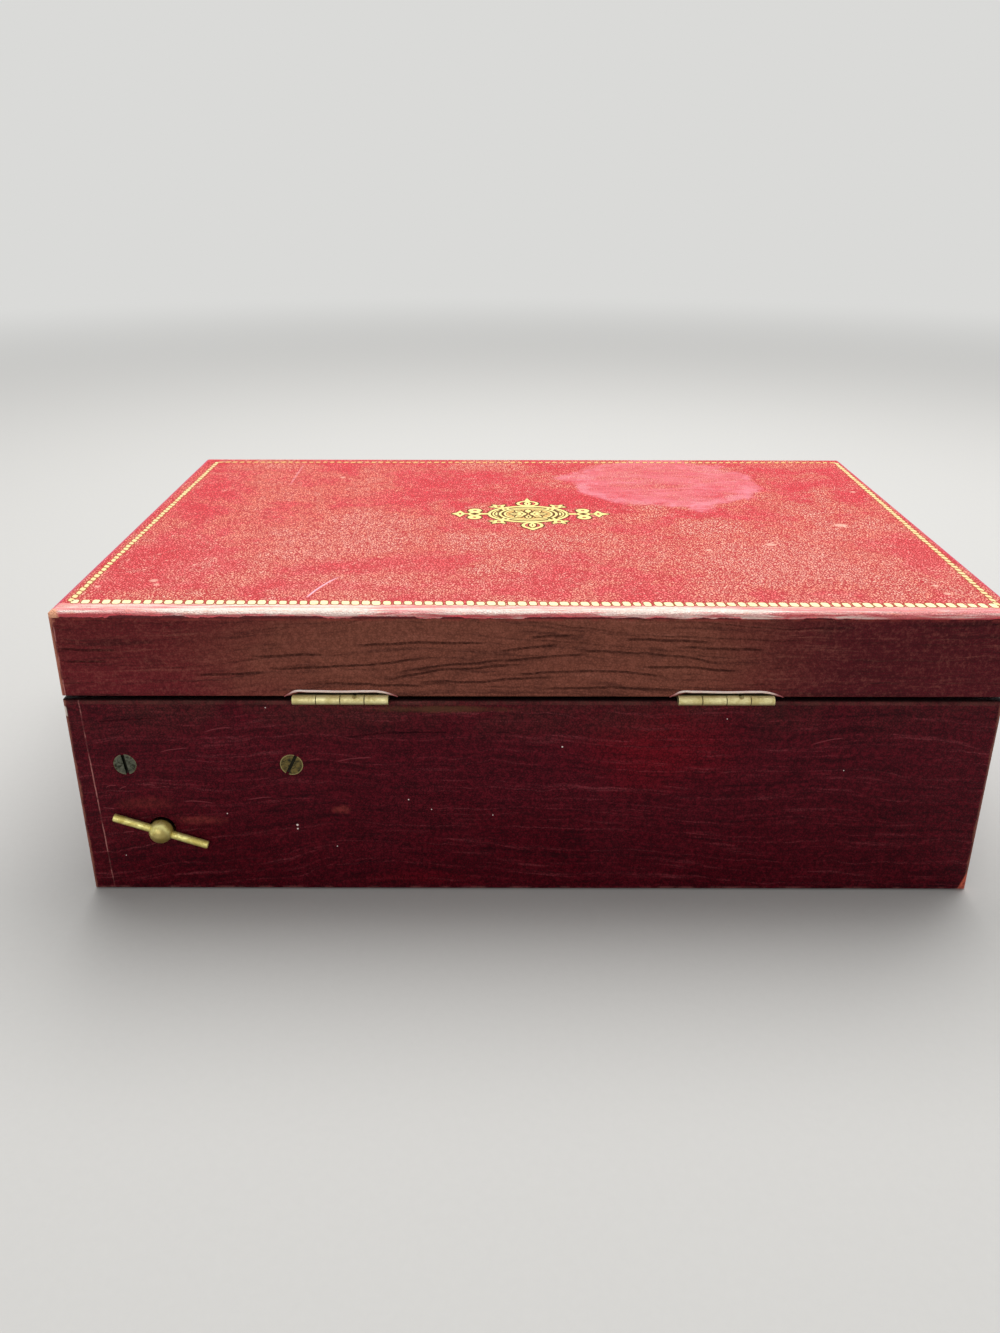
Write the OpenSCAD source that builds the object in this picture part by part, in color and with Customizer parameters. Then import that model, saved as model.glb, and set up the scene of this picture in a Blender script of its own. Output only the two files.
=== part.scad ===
// Musical jewelry box: a wooden case covered in thin leather, hinged at the back,
// with a cylinder musical movement wound by a T key through the back wall.
// Millimetres. The origin is the middle of the underside, +Z is up and the front faces -Y.

/* [Case] */
// Outside width of the case, side to side
box_w = 280; // [270:1:310]
// Outside depth of the case, front to back
box_d = 188; // [184:1:210]
// Height of the base, from the table to its rim
base_h = 67.5; // [66:0.5:80]
// Height of the lid, from its rim to its top
lid_h = 27; // [26:0.5:36]
// Gap between the two rims, which the hinge leaves set
rim_gap = 1; // [0.8:0.1:1.4]
// Thickness of the wall boards
board_t = 6; // [5.5:0.25:7]
// Thickness of the floor board
floor_t = 4; // [3:0.5:6]
// Thickness of the board under the lid's top
top_t = 5; // [4:0.5:6]
// Thickness of the leather
leather_t = 0.6; // [0.5:0.05:0.8]
// Radius of the upright edges of the case
corner_r = 2; // [1.5:0.25:3]
// Radius round the top of the lid
lid_edge_r = 2; // [1.5:0.25:3]
// Radius of the rims' outer edges
rim_r = 1; // [0.8:0.1:1.2]
// How far the leather turns in over the rims
turn_in = 5; // [4:0.5:7]
// Width of the leather turned under the base
turn_under = 14; // [10:1:20]
// Thickness of the felt under the base
felt_t = 1; // [0.8:0.1:1.5]
// Fingers in each corner joint of the base
base_fingers = 7; // [5:2:9]
// Fingers in each corner joint of the lid
lid_fingers = 3; // [3:2:5]

/* [Hinges] */
// Distance between the middles of the two hinges
hinge_span = 114; // [100:1:130]
// Length of a hinge's barrel
hinge_w = 28.3; // [26:0.1:32]
// Radius of the barrel
barrel_r = 1.4; // [1.3:0.05:1.6]
// How far the barrel's axis stands out from the back
barrel_out = 0.9; // [0.8:0.05:1.2]
// Radius of the hinge pin
hinge_pin_r = 0.7; // [0.6:0.05:0.8]
// Knuckles in one barrel
knuckles = 4; // [4:1:5]
// How far a leaf reaches over the rim from the axis
leaf_reach = 6.4; // [6:0.1:6.8]
// Height of the notch in the lid's back above each barrel
notch_h = 1.5; // [1.4:0.1:2.4]
// Radius of the shank of a small brass screw
pin_screw_r = 0.7; // [0.6:0.05:0.8]
// Length of a small brass screw
pin_screw_l = 6; // [5:0.5:8]

/* [Lining] */
// Thickness of the velvet-covered lining cards
liner_t = 1.8; // [1.5:0.1:2.2]
// Thickness of the dividers
divider_t = 2.4; // [2:0.1:3]
// Height of the long divider's top above the table
long_divider_z = 60; // [58:0.5:62]
// Height of the short dividers' tops above the table
short_divider_z = 48; // [42:1:54]
// Width of the ring section at the left
ring_bay_w = 93; // [80:1:100]
// Width of the bay at the right of the front
right_bay_w = 85; // [70:1:95]
// Rolls in the ring section
ring_rolls_n = 8; // [6:1:9]
// Height of the block that carries the ring rolls
ring_base_h = 18; // [12:1:20]
// Height of a ring roll
ring_roll_h = 18; // [14:1:20]
// Width of the mirror in the lid
mirror_w = 190; // [160:5:205]
// Depth of the mirror in the lid
mirror_d = 112; // [90:2:124]
// Thickness of the mirror
mirror_t = 2; // [1.5:0.25:3]
// Width of the mirror's frame
mirror_frame_w = 9; // [6:0.5:12]

/* [Lock] */
// Width of the lock
lock_w = 30; // [26:1:36]
// Depth of the lock below the rim
lock_h = 17; // [15:0.5:20]
// Thickness of the lock
lock_t = 3.8; // [3.4:0.1:4]
// Wall of the lock case
lock_wall = 0.6; // [0.5:0.05:0.7]
// Travel of the bolt
bolt_travel = 3; // [2.5:0.25:3.5]

/* [Movement] */
// Distance of the winding axis from the side of the case
key_inset = 24.8; // [24:0.1:26]
// Height of the winding axis above the table
key_z = 23; // [21.5:0.1:25]
// How far the near mounting screw lies beyond the winding axis
near_screw_x = 8.8; // [8:0.1:9.5]
// Distance between the two mounting screws
screw_span = 50.7; // [50:0.1:52]
// Height of the mounting screws above the winding axis
screw_rise = 22.6; // [22:0.1:23.5]
// Radius of a mounting screw's head
screw_head_r = 3.5; // [3.2:0.1:3.8]
// Radius of a mounting screw's shank
screw_r = 1.45; // [1.3:0.05:1.6]
// Thickness of the bedplate
bed_t = 2.5; // [2:0.1:3]
// Height of the spring drum
drum_h = 7.8; // [7:0.1:9]
// Wall of the spring drum
drum_wall = 1; // [0.8:0.1:1.3]
// Turns of the mainspring
spring_turns = 7; // [5:1:9]
// Thickness of the mainspring
spring_t = 0.25; // [0.2:0.05:0.3]
// Radius of the winding arbor
arbor_r = 1.5; // [1.3:0.05:1.7]
// Radius of the pinned cylinder
cyl_r = 6.4; // [6:0.1:6.6]
// How far the pins stand out of the cylinder
pin_h = 0.9; // [0.7:0.1:1]
// Teeth of the comb
comb_teeth = 18; // [14:1:20]
// Pitch of the comb's teeth
comb_pitch = 1.45; // [1.3:0.05:1.5]
// Thickness of the comb's teeth
tooth_t = 0.9; // [0.7:0.1:1.1]

/* [Key] */
// Radius of the key's ball-shaped hub
hub_r = 3.7; // [3.6:0.05:4]
// Length of the key's cross bar
bar_l = 30; // [26:1:34]
// Radius of the key's cross bar
bar_r = 1.25; // [1.1:0.05:1.4]
// How far the cross bar's axis stands out from the back
bar_out = 1.8; // [1.7:0.1:3]
// Turn of the cross bar from level
bar_tilt = 19.5; // [0:0.5:90]

/* [Hidden] */
$fn = 48;
run_gap = 0.05; // between a shaft and its bore
fit_gap = 0.3; // between parts that pass each other
e = 0.01;

// Case heights and half widths
box_h = base_h + rim_gap + lid_h;
lid_z = base_h + rim_gap;
half_w = box_w / 2;
half_d = box_d / 2;
board_x = half_w - leather_t;
board_y = half_d - leather_t;
inner_x = board_x - board_t;
inner_y = board_y - board_t;
room_x = inner_x - liner_t;
room_y = inner_y - liner_t;
board_z0 = felt_t;
board_z1 = base_h - leather_t;
floor_z = felt_t + floor_t;
liner_floor_t = 1;
room_z = floor_z + liner_floor_t;
liner_z1 = base_h - turn_in;
ceiling_z = box_h - leather_t - top_t;
ceiling_pad_t = 1.5;
room_top_z = ceiling_z - ceiling_pad_t;
seam_z = box_h - lid_edge_r; // where the side leather meets the top leather

// Hinges
axis_y = half_d + barrel_out;
axis_z = base_h + rim_gap / 2;
leaf_gap = 0.05;
leaf_t = rim_gap / 2 + leather_t - leaf_gap;
knuckle_gap = 0.3;
leaf_side_gap = 0.25; // beside the other leaf's knuckles
nick_r = 0.8;
nick_rise = 0.25; // of the nick's axis above the knuckle
nick_share = 0.4; // along the knuckle
knuckle_l = (hinge_w - (knuckles - 1) * knuckle_gap) / knuckles;
barrel_gap = 0.2;
notch_ramp = 3.65;
notch_in = 1.6;
leaf_screws = 3;
pin_screw_head_r = 1.45;
leaf_rim = 0.25; // beside a screw's head
screw_line_y = axis_y - leaf_reach + pin_screw_head_r + run_gap + leaf_rim;

// Music compartment and dividers
key_x = half_w - key_inset;
bed_back_y = inner_y;
bed_front_y = bed_back_y - bed_t;
music_depth = 38;
music_wall_y = inner_y - music_depth; // inner face of the long divider
ledge_w = 3;
glass_t = 2;
glass_z = long_divider_z - glass_t - 0.5;

// Movement, in its own frame: x towards the side, y up, z into the box
crown_module = 0.6;
crown_teeth = 38;
crown_pinion_teeth = 10;
crown_r = crown_module * crown_teeth / 2;
crown_pinion_r = crown_module * crown_pinion_teeth / 2;
crown_rib_l = 2.1;
crown_add = 0.45;
crown_ded = 0.65;
drum_r = crown_r + 1;
ratchet_z = fit_gap;
ratchet_t = 1.2;
ratchet_r = 6.5;
ratchet_teeth = 16;
drum_z = ratchet_z + ratchet_t + 0.45;
drum_front = drum_z + drum_h;
cover_t = 0.8;
cyl_z = drum_front + crown_ded + crown_pinion_r;
cyl_arbor_r = 0.9;
bracket_t = 1;
gear_t = 1.2;
gear_module = 0.3;
gear_teeth = 46;
gov_pinion_teeth = 9;
near_bracket_x = -(drum_r + fit_gap + bracket_t);
gear_x = near_bracket_x - 0.4 - gear_t;
cyl_x1 = gear_x - 0.6;
cyl_l = comb_teeth * comb_pitch + 2.1;
cyl_x0 = cyl_x1 - cyl_l;
far_bracket_t = 1.2;
far_bracket_x = cyl_x0 - 0.4 - far_bracket_t;
bed_x0 = min(far_bracket_x - 1.9, near_screw_x - screw_span - 5.4);
bed_x1 = 14.5;
bed_y0 = -(drum_r + 0.5);
bed_y1 = screw_rise + 4.9;
music_side_x = key_x + bed_x0 - 3; // inner face of the side wall of the compartment

// Comb
comb_x0 = cyl_x0 + 0.9;
comb_tip_y = cyl_r + pin_h + 0.35;
comb_blade_l = 14.2;
comb_heel_y = comb_tip_y + comb_blade_l;
comb_end_y = bed_y1 - 0.8;
comb_heel_t = 2;
pedestal_top = cyl_z - comb_heel_t / 2;
comb_screw_y = (comb_heel_y + comb_end_y) / 2 - 0.3;

// Governor
gov_angle = 50;
gov_dist = gear_module * (gear_teeth + gov_pinion_teeth) / 2 + 0.05;
gov_y = gov_dist * cos(gov_angle);
gov_z = cyl_z + gov_dist * sin(gov_angle);
gov_arbor_r = 0.5;
spindle_r = 0.4;
worm_wheel_teeth = 24;
worm_pitch = 1.2566;
wheel_tip_r = 5.15;
wheel_root_r = 4.45;
wheel_t = 0.8;
worm_r = 1.05;
worm_lift = 0.25; // how far the thread's round section lies off the axis
worm_bite = 0.2;
worm_y = gov_y + wheel_tip_r + worm_r - worm_bite;
cheek_t = 1;
cheek_x0 = near_bracket_x + 3.7;
gov_w = 8.4;
wheel_x = cheek_x0 + gov_w / 2;
gov_low_z = drum_front + crown_add + crown_ded + 0.55;
gov_bar_t = 1.5;
gov_top_z = gov_z + 6.3;
gov_back_y = drum_r + 8.2;
gov_ledge = 2; // of the spindle's bearings past its axis
fan_z = gov_top_z + gov_bar_t + 0.7;
fan_r = 4;
fan_h = 3;

// Stop rod
rod_r = 1;
rod_x = wheel_x + fan_r + 2.9;
rod_z = fan_z + fan_h / 2;
rod_top_z = room_top_z - 0.4;
rod_bracket_y = bed_y1 - 3.5;

// Key
key_hole_r = hub_r + 0.45;
hub_neck_r = 2.8;
hub_in = 3;

// Small values
skin_gap = 0.1; // between the boards' rounded edges and the leather
edge_gap = 0.2; // beside a piece that is dropped into its place
card_gap = 0.1; // between lining cards that meet at a corner
thin_r = 0.2;
foot_r = 0.8;
slot_depth = 0.5;

// More of the lining
bay_split_y = -22;
rear_split_x = -36;
ring_pitch = (music_wall_y - divider_t + room_y) / ring_rolls_n;
ring_roll_r = ring_pitch / 2 - edge_gap;
ring_foot_w = ring_pitch - 5;
frame_lip = 1.5;
frame_cover = 2;

// More of the hinges
notch_side = 1.8;
leaf_slot_turn = 20;
pin_screw_slot = 0.35;
leaf_screw_pitch = 10;

// More of the lock
lock_top_t = 1.6;
keyhole_r = 1.5;
keyhole_slot = 1.4;
keyhole_drop = 4.2;
keyhole_rim = 0.8;
keyhole_z = base_h - 9.5;
ear_y = -inner_y - lock_t / 2;
ear_t = 1.2;
ear_w = 1.7;
ear_gap = 0.25;
ear_span = 16;
ear_end = 1.9;
bolt_z = base_h - 4.4;
bolt_t = 0.7;
bolt_h = 1.4;
bolt_play = 0.2;
bolt_gap = 0.5;
bolt_l = 22;
bolt_drop = 3;
prong_l = bolt_travel + bolt_h + fit_gap;
link_plate_w = 26;
link_plate_d = 3.4;
link_plate_t = 1;

// More of the movement
back_z = half_d - bed_front_y; // the case's back face, behind the bedplate's front
hub_z = back_z - hub_in;
hub_bore = hub_in + bar_out - bar_r - edge_gap; // up to the cross bar
bar_end = 0.25;
head_sink = 0.15;
screw_l = leather_t + board_t + bed_t + 1.2;
screw_slot = 1;
slot_turns = [8, -26];
boss_r = 3.2;
boss_h = 2;
comb_w = comb_teeth * comb_pitch;
comb_slot = 0.35;
comb_free_long = 13.6;
comb_free_short = 9.4;
comb_weights = 7;
weight_h = 1.6;
weight_l = 5;
weight_step = 0.5;
comb_screw_r = 0.9;
comb_screw_head_r = 1.7;
comb_screw_head_h = 1.1;
comb_screw_l = 7;
bracket_foot_w = 13;
bracket_head_r = 2.6;
gov_foot_y = drum_r + 0.9;
gov_screw_y = (gov_foot_y + gov_back_y) / 2;
click_x = -8.8;
click_y = 4.6;
click_pin_r = 0.6;
click_eye_r = 1.6;
click_nose_x = -5.6;
click_nose_y = -3.8;
guide_w = 5;
guide_low_y = worm_y + 5.6;
rod_low_y = worm_y - 2 * rod_r;
finger_r = 0.5;
crown_in_r = drum_r - crown_rib_l;
crown_seat = 1.2;
crown_root_w = 1;
crown_tip_w = 0.5;
spring_in_r = 3;
spring_out_r = drum_r - drum_wall - 0.4;
spring_end = 360 * spring_turns;
spring_step = 20;
cyl_pin_r = 0.22;
gear_pitch_r = gear_module * gear_teeth / 2;
gear_add = 0.25;
gear_ded = 0.4;
gear_root_share = 0.6;
gear_tip_share = 0.24;
pinion_root_share = 0.6;
pinion_tip_share = 0.24;
gov_pinion_r = gear_module * gov_pinion_teeth / 2;
gov_root_share = 0.6;
gov_tip_share = 0.24;
gov_phase = 180 + gov_angle + (gov_angle * gear_teeth / 360 - 0.5) * 360 / gov_pinion_teeth;
wheel_root_share = 0.6;
wheel_tip_share = 0.3;
worm_turns = 7;
wheel_phase = (0.25 - worm_turns / 2) * 360 / worm_wheel_teeth;
fan_hub_r = 0.9;
fan_t = 0.3;

// Shared shapes

module rounded_rect(w, d, r) {
    square([w - 2 * r, d], center = true);
    square([w, d - 2 * r], center = true);
    for (x = [-1, 1], y = [-1, 1]) translate([x * (w / 2 - r), y * (d / 2 - r)]) circle(r);
}

// Upright outline w wide from z0 to z1, with its bottom and top corners rounded
module edge_outline(w, z0, z1, bottom_r, top_r) {
    translate([-w / 2 + bottom_r, z0]) square([w - 2 * bottom_r, bottom_r]);
    translate([-w / 2, z0 + bottom_r]) square([w, z1 - z0 - bottom_r - top_r]);
    translate([-w / 2 + top_r, z1 - top_r]) square([w - 2 * top_r, top_r]);
    for (x = [-1, 1]) translate([x * (w / 2 - bottom_r), z0 + bottom_r]) circle(bottom_r);
    for (x = [-1, 1]) translate([x * (w / 2 - top_r), z1 - top_r]) circle(top_r);
}

// Box with rounded upright, bottom and top edges
module soft_block(w, d, z0, z1, side_r, bottom_r, top_r) {
    intersection() {
        translate([0, 0, z0]) linear_extrude(z1 - z0) rounded_rect(w, d, side_r);
        rotate([90, 0, 0]) linear_extrude(d, center = true) edge_outline(w, z0, z1, bottom_r, top_r);
        rotate([90, 0, 90]) linear_extrude(w, center = true) edge_outline(d, z0, z1, bottom_r, top_r);
    }
}

module block(x0, x1, y0, y1, z0, z1) {
    translate([x0, y0, z0]) cube([x1 - x0, y1 - y0, z1 - z0]);
}

// Block centred on the case, given by its half sizes
module mid_block(hx, hy, z0, z1) {
    block(-hx, hx, -hy, hy, z0, z1);
}

module x_cylinder(r, x0, x1) {
    translate([x0, 0, 0]) rotate([0, 90, 0]) cylinder(r = r, h = x1 - x0);
}

// Countersunk screw with its face at z = 0, pointing down; grow widens it into its hole
module sunk_screw(head_r, shank_r, length, slot_w, slot_turn, grow) {
    head_h = head_r - shank_r;
    difference() {
        union() {
            translate([0, 0, -head_h]) cylinder(r1 = shank_r + grow, r2 = head_r + grow, h = head_h);
            translate([0, 0, -length]) cylinder(r = shank_r + grow, h = length - head_h / 2);
            if (grow > 0) cylinder(r = head_r + grow, h = 3);
        }
        if (grow == 0) {
            rotate(slot_turn) translate([-slot_w / 2, -head_r - 1, -head_h * slot_depth])
                cube([slot_w, 2 * head_r + 2, head_h]);
        }
    }
}

// Screw with a round flat head standing on z = 0, shank pointing down
module round_screw(head_r, head_h, shank_r, length, slot_w) {
    difference() {
        union() {
            cylinder(r = head_r, h = head_h);
            translate([0, 0, -length]) cylinder(r = shank_r, h = length + head_h / 2);
        }
        translate([-slot_w / 2, -head_r - 1, head_h * (1 - slot_depth)])
            cube([slot_w, 2 * head_r + 2, head_h]);
    }
}

// Outline of a straight-sided gear; the fractions are the tooth's share of the pitch
function gear_points(teeth, root_r, tip_r, root_share, tip_share) = [
    for (i = [0 : teeth - 1],
        c = [[-root_share, root_r], [-tip_share, tip_r], [tip_share, tip_r], [root_share, root_r]])
        let (a = (i + c[0] / 2) * 360 / teeth) [c[1] * cos(a), c[1] * sin(a)]
];

module spur_gear(teeth, root_r, tip_r, root_share, tip_share, width, bore) {
    linear_extrude(width) difference() {
        polygon(gear_points(teeth, root_r, tip_r, root_share, tip_share));
        circle(bore);
    }
}

module leather_colour() color("#8c1828") children();
module wood_colour() color("#c8a06a") children();
module velvet_colour() color("#efe4cc") children();
module brass_colour() color("#b8994f") children();
module steel_colour() color("#9aa0a6") children();

// Case boards, with finger joints at the corners

module board_outline(z0, z1) {
    translate([0, 0, z0]) linear_extrude(z1 - z0)
        rounded_rect(2 * board_x, 2 * board_y, corner_r - leather_t + skin_gap);
}

// Front (side = -1) or back (side = 1) board; it keeps the first finger of each corner
module cross_board(side, z0, z1, fingers) {
    step = (z1 - z0) / fingers;
    intersection() {
        board_outline(z0, z1);
        rotate(side > 0 ? 0 : 180) {
            block(-inner_x, inner_x, inner_y, board_y + 1, z0 - 1, z1 + 1);
            for (i = [0 : 2 : fingers - 1])
                block(-board_x - 1, board_x + 1, inner_y, board_y + 1,
                    i == 0 ? z0 - 1 : z0 + i * step, i == fingers - 1 ? z1 + 1 : z0 + (i + 1) * step);
        }
    }
}

// Left (side = -1) or right (side = 1) board; it keeps the second finger of each corner
module side_board(side, z0, z1, fingers) {
    step = (z1 - z0) / fingers;
    intersection() {
        board_outline(z0, z1);
        rotate(side > 0 ? 0 : 180) {
            block(inner_x, board_x + 1, -inner_y, inner_y, z0 - 1, z1 + 1);
            for (i = [1 : 2 : fingers - 1])
                block(inner_x, board_x + 1, -board_y - 1, board_y + 1, z0 + i * step, z0 + (i + 1) * step);
        }
    }
}

module in_movement() {
    translate([key_x, bed_front_y, key_z]) rotate([90, 0, 0]) children();
}

module at_mounting_screws() {
    for (x = [near_screw_x, near_screw_x - screw_span]) translate([x, screw_rise, 0]) children();
}

module mounting_screw(grow, turn) {
    translate([0, 0, bed_front_y - half_d + head_sink]) rotate([180, 0, 0])
        sunk_screw(screw_head_r, screw_r, screw_l, screw_slot, turn, grow);
}

module base_back_cuts() {
    in_movement() {
        translate([0, 0, -bed_t - board_t - leather_t - 1])
            cylinder(r = key_hole_r, h = board_t + leather_t + 2);
        at_mounting_screws() mounting_screw(run_gap, 0);
    }
}

module base_front_board() wood_colour() difference() {
    cross_board(-1, board_z0, board_z1, base_fingers);
    lock_block(fit_gap / 2);
    keyhole_cut(run_gap);
}

module base_back_board() wood_colour() difference() {
    cross_board(1, board_z0, board_z1, base_fingers);
    base_back_cuts();
    at_leaf_screws() mirror([0, 0, 1]) screw_bore();
}

module base_side_boards() wood_colour() {
    for (side = [-1, 1]) side_board(side, board_z0, board_z1, base_fingers);
}

module base_floor_board() wood_colour() mid_block(inner_x, inner_y, board_z0, floor_z);

module lid_front_board() wood_colour() difference() {
    cross_board(-1, lid_z + leather_t, ceiling_z, lid_fingers);
    link_plate_seat();
}

module lid_back_board() wood_colour() difference() {
    cross_board(1, lid_z + leather_t, ceiling_z, lid_fingers);
    hinge_notches();
    at_leaf_screws() screw_bore();
}

module lid_side_boards() wood_colour() {
    for (side = [-1, 1]) side_board(side, lid_z + leather_t, ceiling_z, lid_fingers);
}

module lid_top_board() wood_colour() {
    soft_block(2 * board_x, 2 * board_y, ceiling_z, box_h - leather_t,
        corner_r - leather_t + skin_gap, thin_r, lid_edge_r - leather_t + skin_gap);
}

// Leather and felt

// What the leather is wrapped round: the four walls between two heights
module wall_ring(z0, z1) {
    difference() {
        translate([0, 0, z0]) linear_extrude(z1 - z0)
            rounded_rect(2 * board_x, 2 * board_y, corner_r - leather_t);
        mid_block(inner_x, inner_y, z0 - 1, z1 + 1);
    }
}

module base_leather() leather_colour() difference() {
    soft_block(box_w, box_d, felt_t - leather_t, base_h, corner_r, foot_r, rim_r);
    wall_ring(board_z0, board_z1);
    mid_block(inner_x, inner_y, board_z0, liner_z1);
    mid_block(inner_x - leather_t, inner_y - leather_t, liner_z1 - e, base_h + 1);
    mid_block(board_x - turn_under, board_y - turn_under, 0, board_z0 + e);
    base_back_cuts();
    hinge_seats(-1);
    at_hinges() barrel_clearance(-hinge_w / 2 - knuckle_gap, hinge_w + 2 * knuckle_gap);
    lock_block(fit_gap / 2);
    keyhole_cut(run_gap);
}

module lid_side_leather() leather_colour() difference() {
    soft_block(box_w, box_d, lid_z, seam_z, corner_r, rim_r, thin_r);
    wall_ring(lid_z + leather_t, seam_z + 1);
    mid_block(inner_x, inner_y, lid_z + turn_in, seam_z + 1);
    mid_block(inner_x - leather_t, inner_y - leather_t, lid_z - 1, lid_z + turn_in + e);
    hinge_notches();
    hinge_seats(1);
    at_hinges() barrel_clearance(-hinge_w / 2 - knuckle_gap, hinge_w + 2 * knuckle_gap);
    link_plate_seat();
}

module lid_top_leather() leather_colour() difference() {
    soft_block(box_w, box_d, ceiling_z, box_h, corner_r, thin_r, lid_edge_r);
    soft_block(2 * board_x, 2 * board_y, ceiling_z - 1, box_h - leather_t,
        corner_r - leather_t, thin_r, lid_edge_r - leather_t);
    mid_block(half_w + 1, half_d + 1, ceiling_z - 1, seam_z);
}

module underside_felt() color("#3b2a26") {
    mid_block(board_x - turn_under - edge_gap, board_y - turn_under - edge_gap, 0, felt_t);
}

// Lining

module base_wall_liners() velvet_colour() {
    block(-inner_x, inner_x, -inner_y, -room_y, room_z, liner_z1);
    block(-inner_x, music_side_x - divider_t, room_y, inner_y, room_z, liner_z1);
    block(-inner_x, -room_x, -room_y + card_gap, room_y - card_gap, room_z, liner_z1);
    block(room_x, inner_x, -room_y + card_gap, music_wall_y - divider_t, room_z, liner_z1);
}

module base_floor_liner() velvet_colour() mid_block(inner_x, inner_y, floor_z, room_z);

module long_divider() velvet_colour() {
    block(-room_x, room_x, music_wall_y - divider_t, music_wall_y, room_z, long_divider_z);
}

module cross_dividers() velvet_colour() {
    front_y1 = music_wall_y - divider_t;
    for (x = [-room_x + ring_bay_w, room_x - right_bay_w - divider_t])
        block(x, x + divider_t, -room_y, front_y1, room_z, short_divider_z);
    block(room_x - right_bay_w, room_x, bay_split_y, bay_split_y + divider_t, room_z, short_divider_z);
    block(rear_split_x, rear_split_x + divider_t, music_wall_y, room_y, room_z, short_divider_z);
}

module music_side_wall() velvet_colour() {
    block(music_side_x - divider_t, music_side_x, music_wall_y, inner_y, room_z, long_divider_z);
}

module ring_roll_base() velvet_colour() {
    block(-room_x + edge_gap, -room_x + ring_bay_w - edge_gap, -room_y + edge_gap,
        music_wall_y - divider_t - edge_gap, room_z, room_z + ring_base_h);
}

// Section of a ring roll: a round crown drawn in to a narrower foot
module ring_roll_section() {
    translate([0, ring_roll_h - ring_roll_r]) circle(ring_roll_r);
    translate([-ring_foot_w / 2, 0]) square([ring_foot_w, ring_roll_h - ring_roll_r]);
}

module ring_rolls() velvet_colour() {
    for (i = [0 : ring_rolls_n - 1])
        translate([-room_x + ring_bay_w / 2, -room_y + (i + 0.5) * ring_pitch, room_z + ring_base_h])
        intersection() {
            rotate([90, 0, 90]) linear_extrude(ring_bay_w, center = true) ring_roll_section();
            rotate([90, 0, 0]) linear_extrude(ring_pitch, center = true)
                edge_outline(ring_bay_w - 2 * edge_gap, 0, ring_roll_h + 1, 3, ring_roll_r);
        }
}

module lid_wall_liners() velvet_colour() {
    z0 = lid_z + turn_in;
    for (s = [-1, 1]) {
        block(-inner_x, inner_x, s > 0 ? room_y : -inner_y, s > 0 ? inner_y : -room_y, z0, room_top_z);
        block(s > 0 ? room_x : -inner_x, s > 0 ? inner_x : -room_x, -room_y + card_gap, room_y - card_gap,
            z0, room_top_z);
    }
}

module lid_top_liner() velvet_colour() mid_block(inner_x, inner_y, room_top_z, ceiling_z);

module mirror_glass() color("#cfd8dc")
    mid_block(mirror_w / 2, mirror_d / 2, room_top_z - mirror_t, room_top_z);

module mirror_frame() brass_colour() difference() {
    frame_out = 2 * (mirror_frame_w - frame_cover);
    translate([0, 0, room_top_z - mirror_t - frame_lip]) linear_extrude(mirror_t + frame_lip)
        rounded_rect(mirror_w + frame_out, mirror_d + frame_out, 4);
    mid_block(mirror_w / 2 + edge_gap, mirror_d / 2 + edge_gap, room_top_z - mirror_t, room_top_z + 1);
    translate([0, 0, room_top_z - mirror_t - frame_lip - 1]) linear_extrude(frame_lip + 2)
        rounded_rect(mirror_w - 2 * frame_cover, mirror_d - 2 * frame_cover, 3);
}

module glass_ledges() wood_colour() {
    z0 = glass_z - ledge_w;
    block(music_side_x, inner_x, music_wall_y, music_wall_y + ledge_w, z0, glass_z);
    block(music_side_x, inner_x, inner_y - ledge_w, inner_y, z0, glass_z);
    block(music_side_x, music_side_x + ledge_w, music_wall_y + ledge_w, inner_y - ledge_w, z0, glass_z);
    block(inner_x - ledge_w, inner_x, music_wall_y + ledge_w, inner_y - ledge_w, z0, glass_z);
}

module music_glass() color("#bfe0e4", 0.4) difference() {
    block(music_side_x + edge_gap, inner_x - edge_gap, music_wall_y + edge_gap, inner_y - edge_gap,
        glass_z, glass_z + glass_t);
    in_movement() translate([rod_x, 0, rod_z]) rotate([-90, 0, 0]) cylinder(r = rod_r + 0.7, h = box_h);
}

// Hinges

module at_hinges() {
    for (s = [-1, 1]) translate([s * hinge_span / 2, axis_y, axis_z]) children();
}

module barrel_clearance(x0, length) {
    x_cylinder(barrel_r + barrel_gap, x0, x0 + length);
}

function knuckle_x(i) = -hinge_w / 2 + i * (knuckle_l + knuckle_gap);

function leaf_screw_x(i) = (i - (leaf_screws - 1) / 2) * leaf_screw_pitch;

// Screw places on a hinge's leaf, at the leaf's face; z is turned away from the other leaf
module at_leaf_screws() {
    for (s = [-1, 1], i = [0 : leaf_screws - 1])
        translate([s * hinge_span / 2 + leaf_screw_x(i), screw_line_y, axis_z]) children();
}

module screw_bore() {
    translate([0, 0, leaf_gap]) cylinder(r = pin_screw_r + run_gap, h = pin_screw_l + leaf_gap + 0.3);
}

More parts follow.
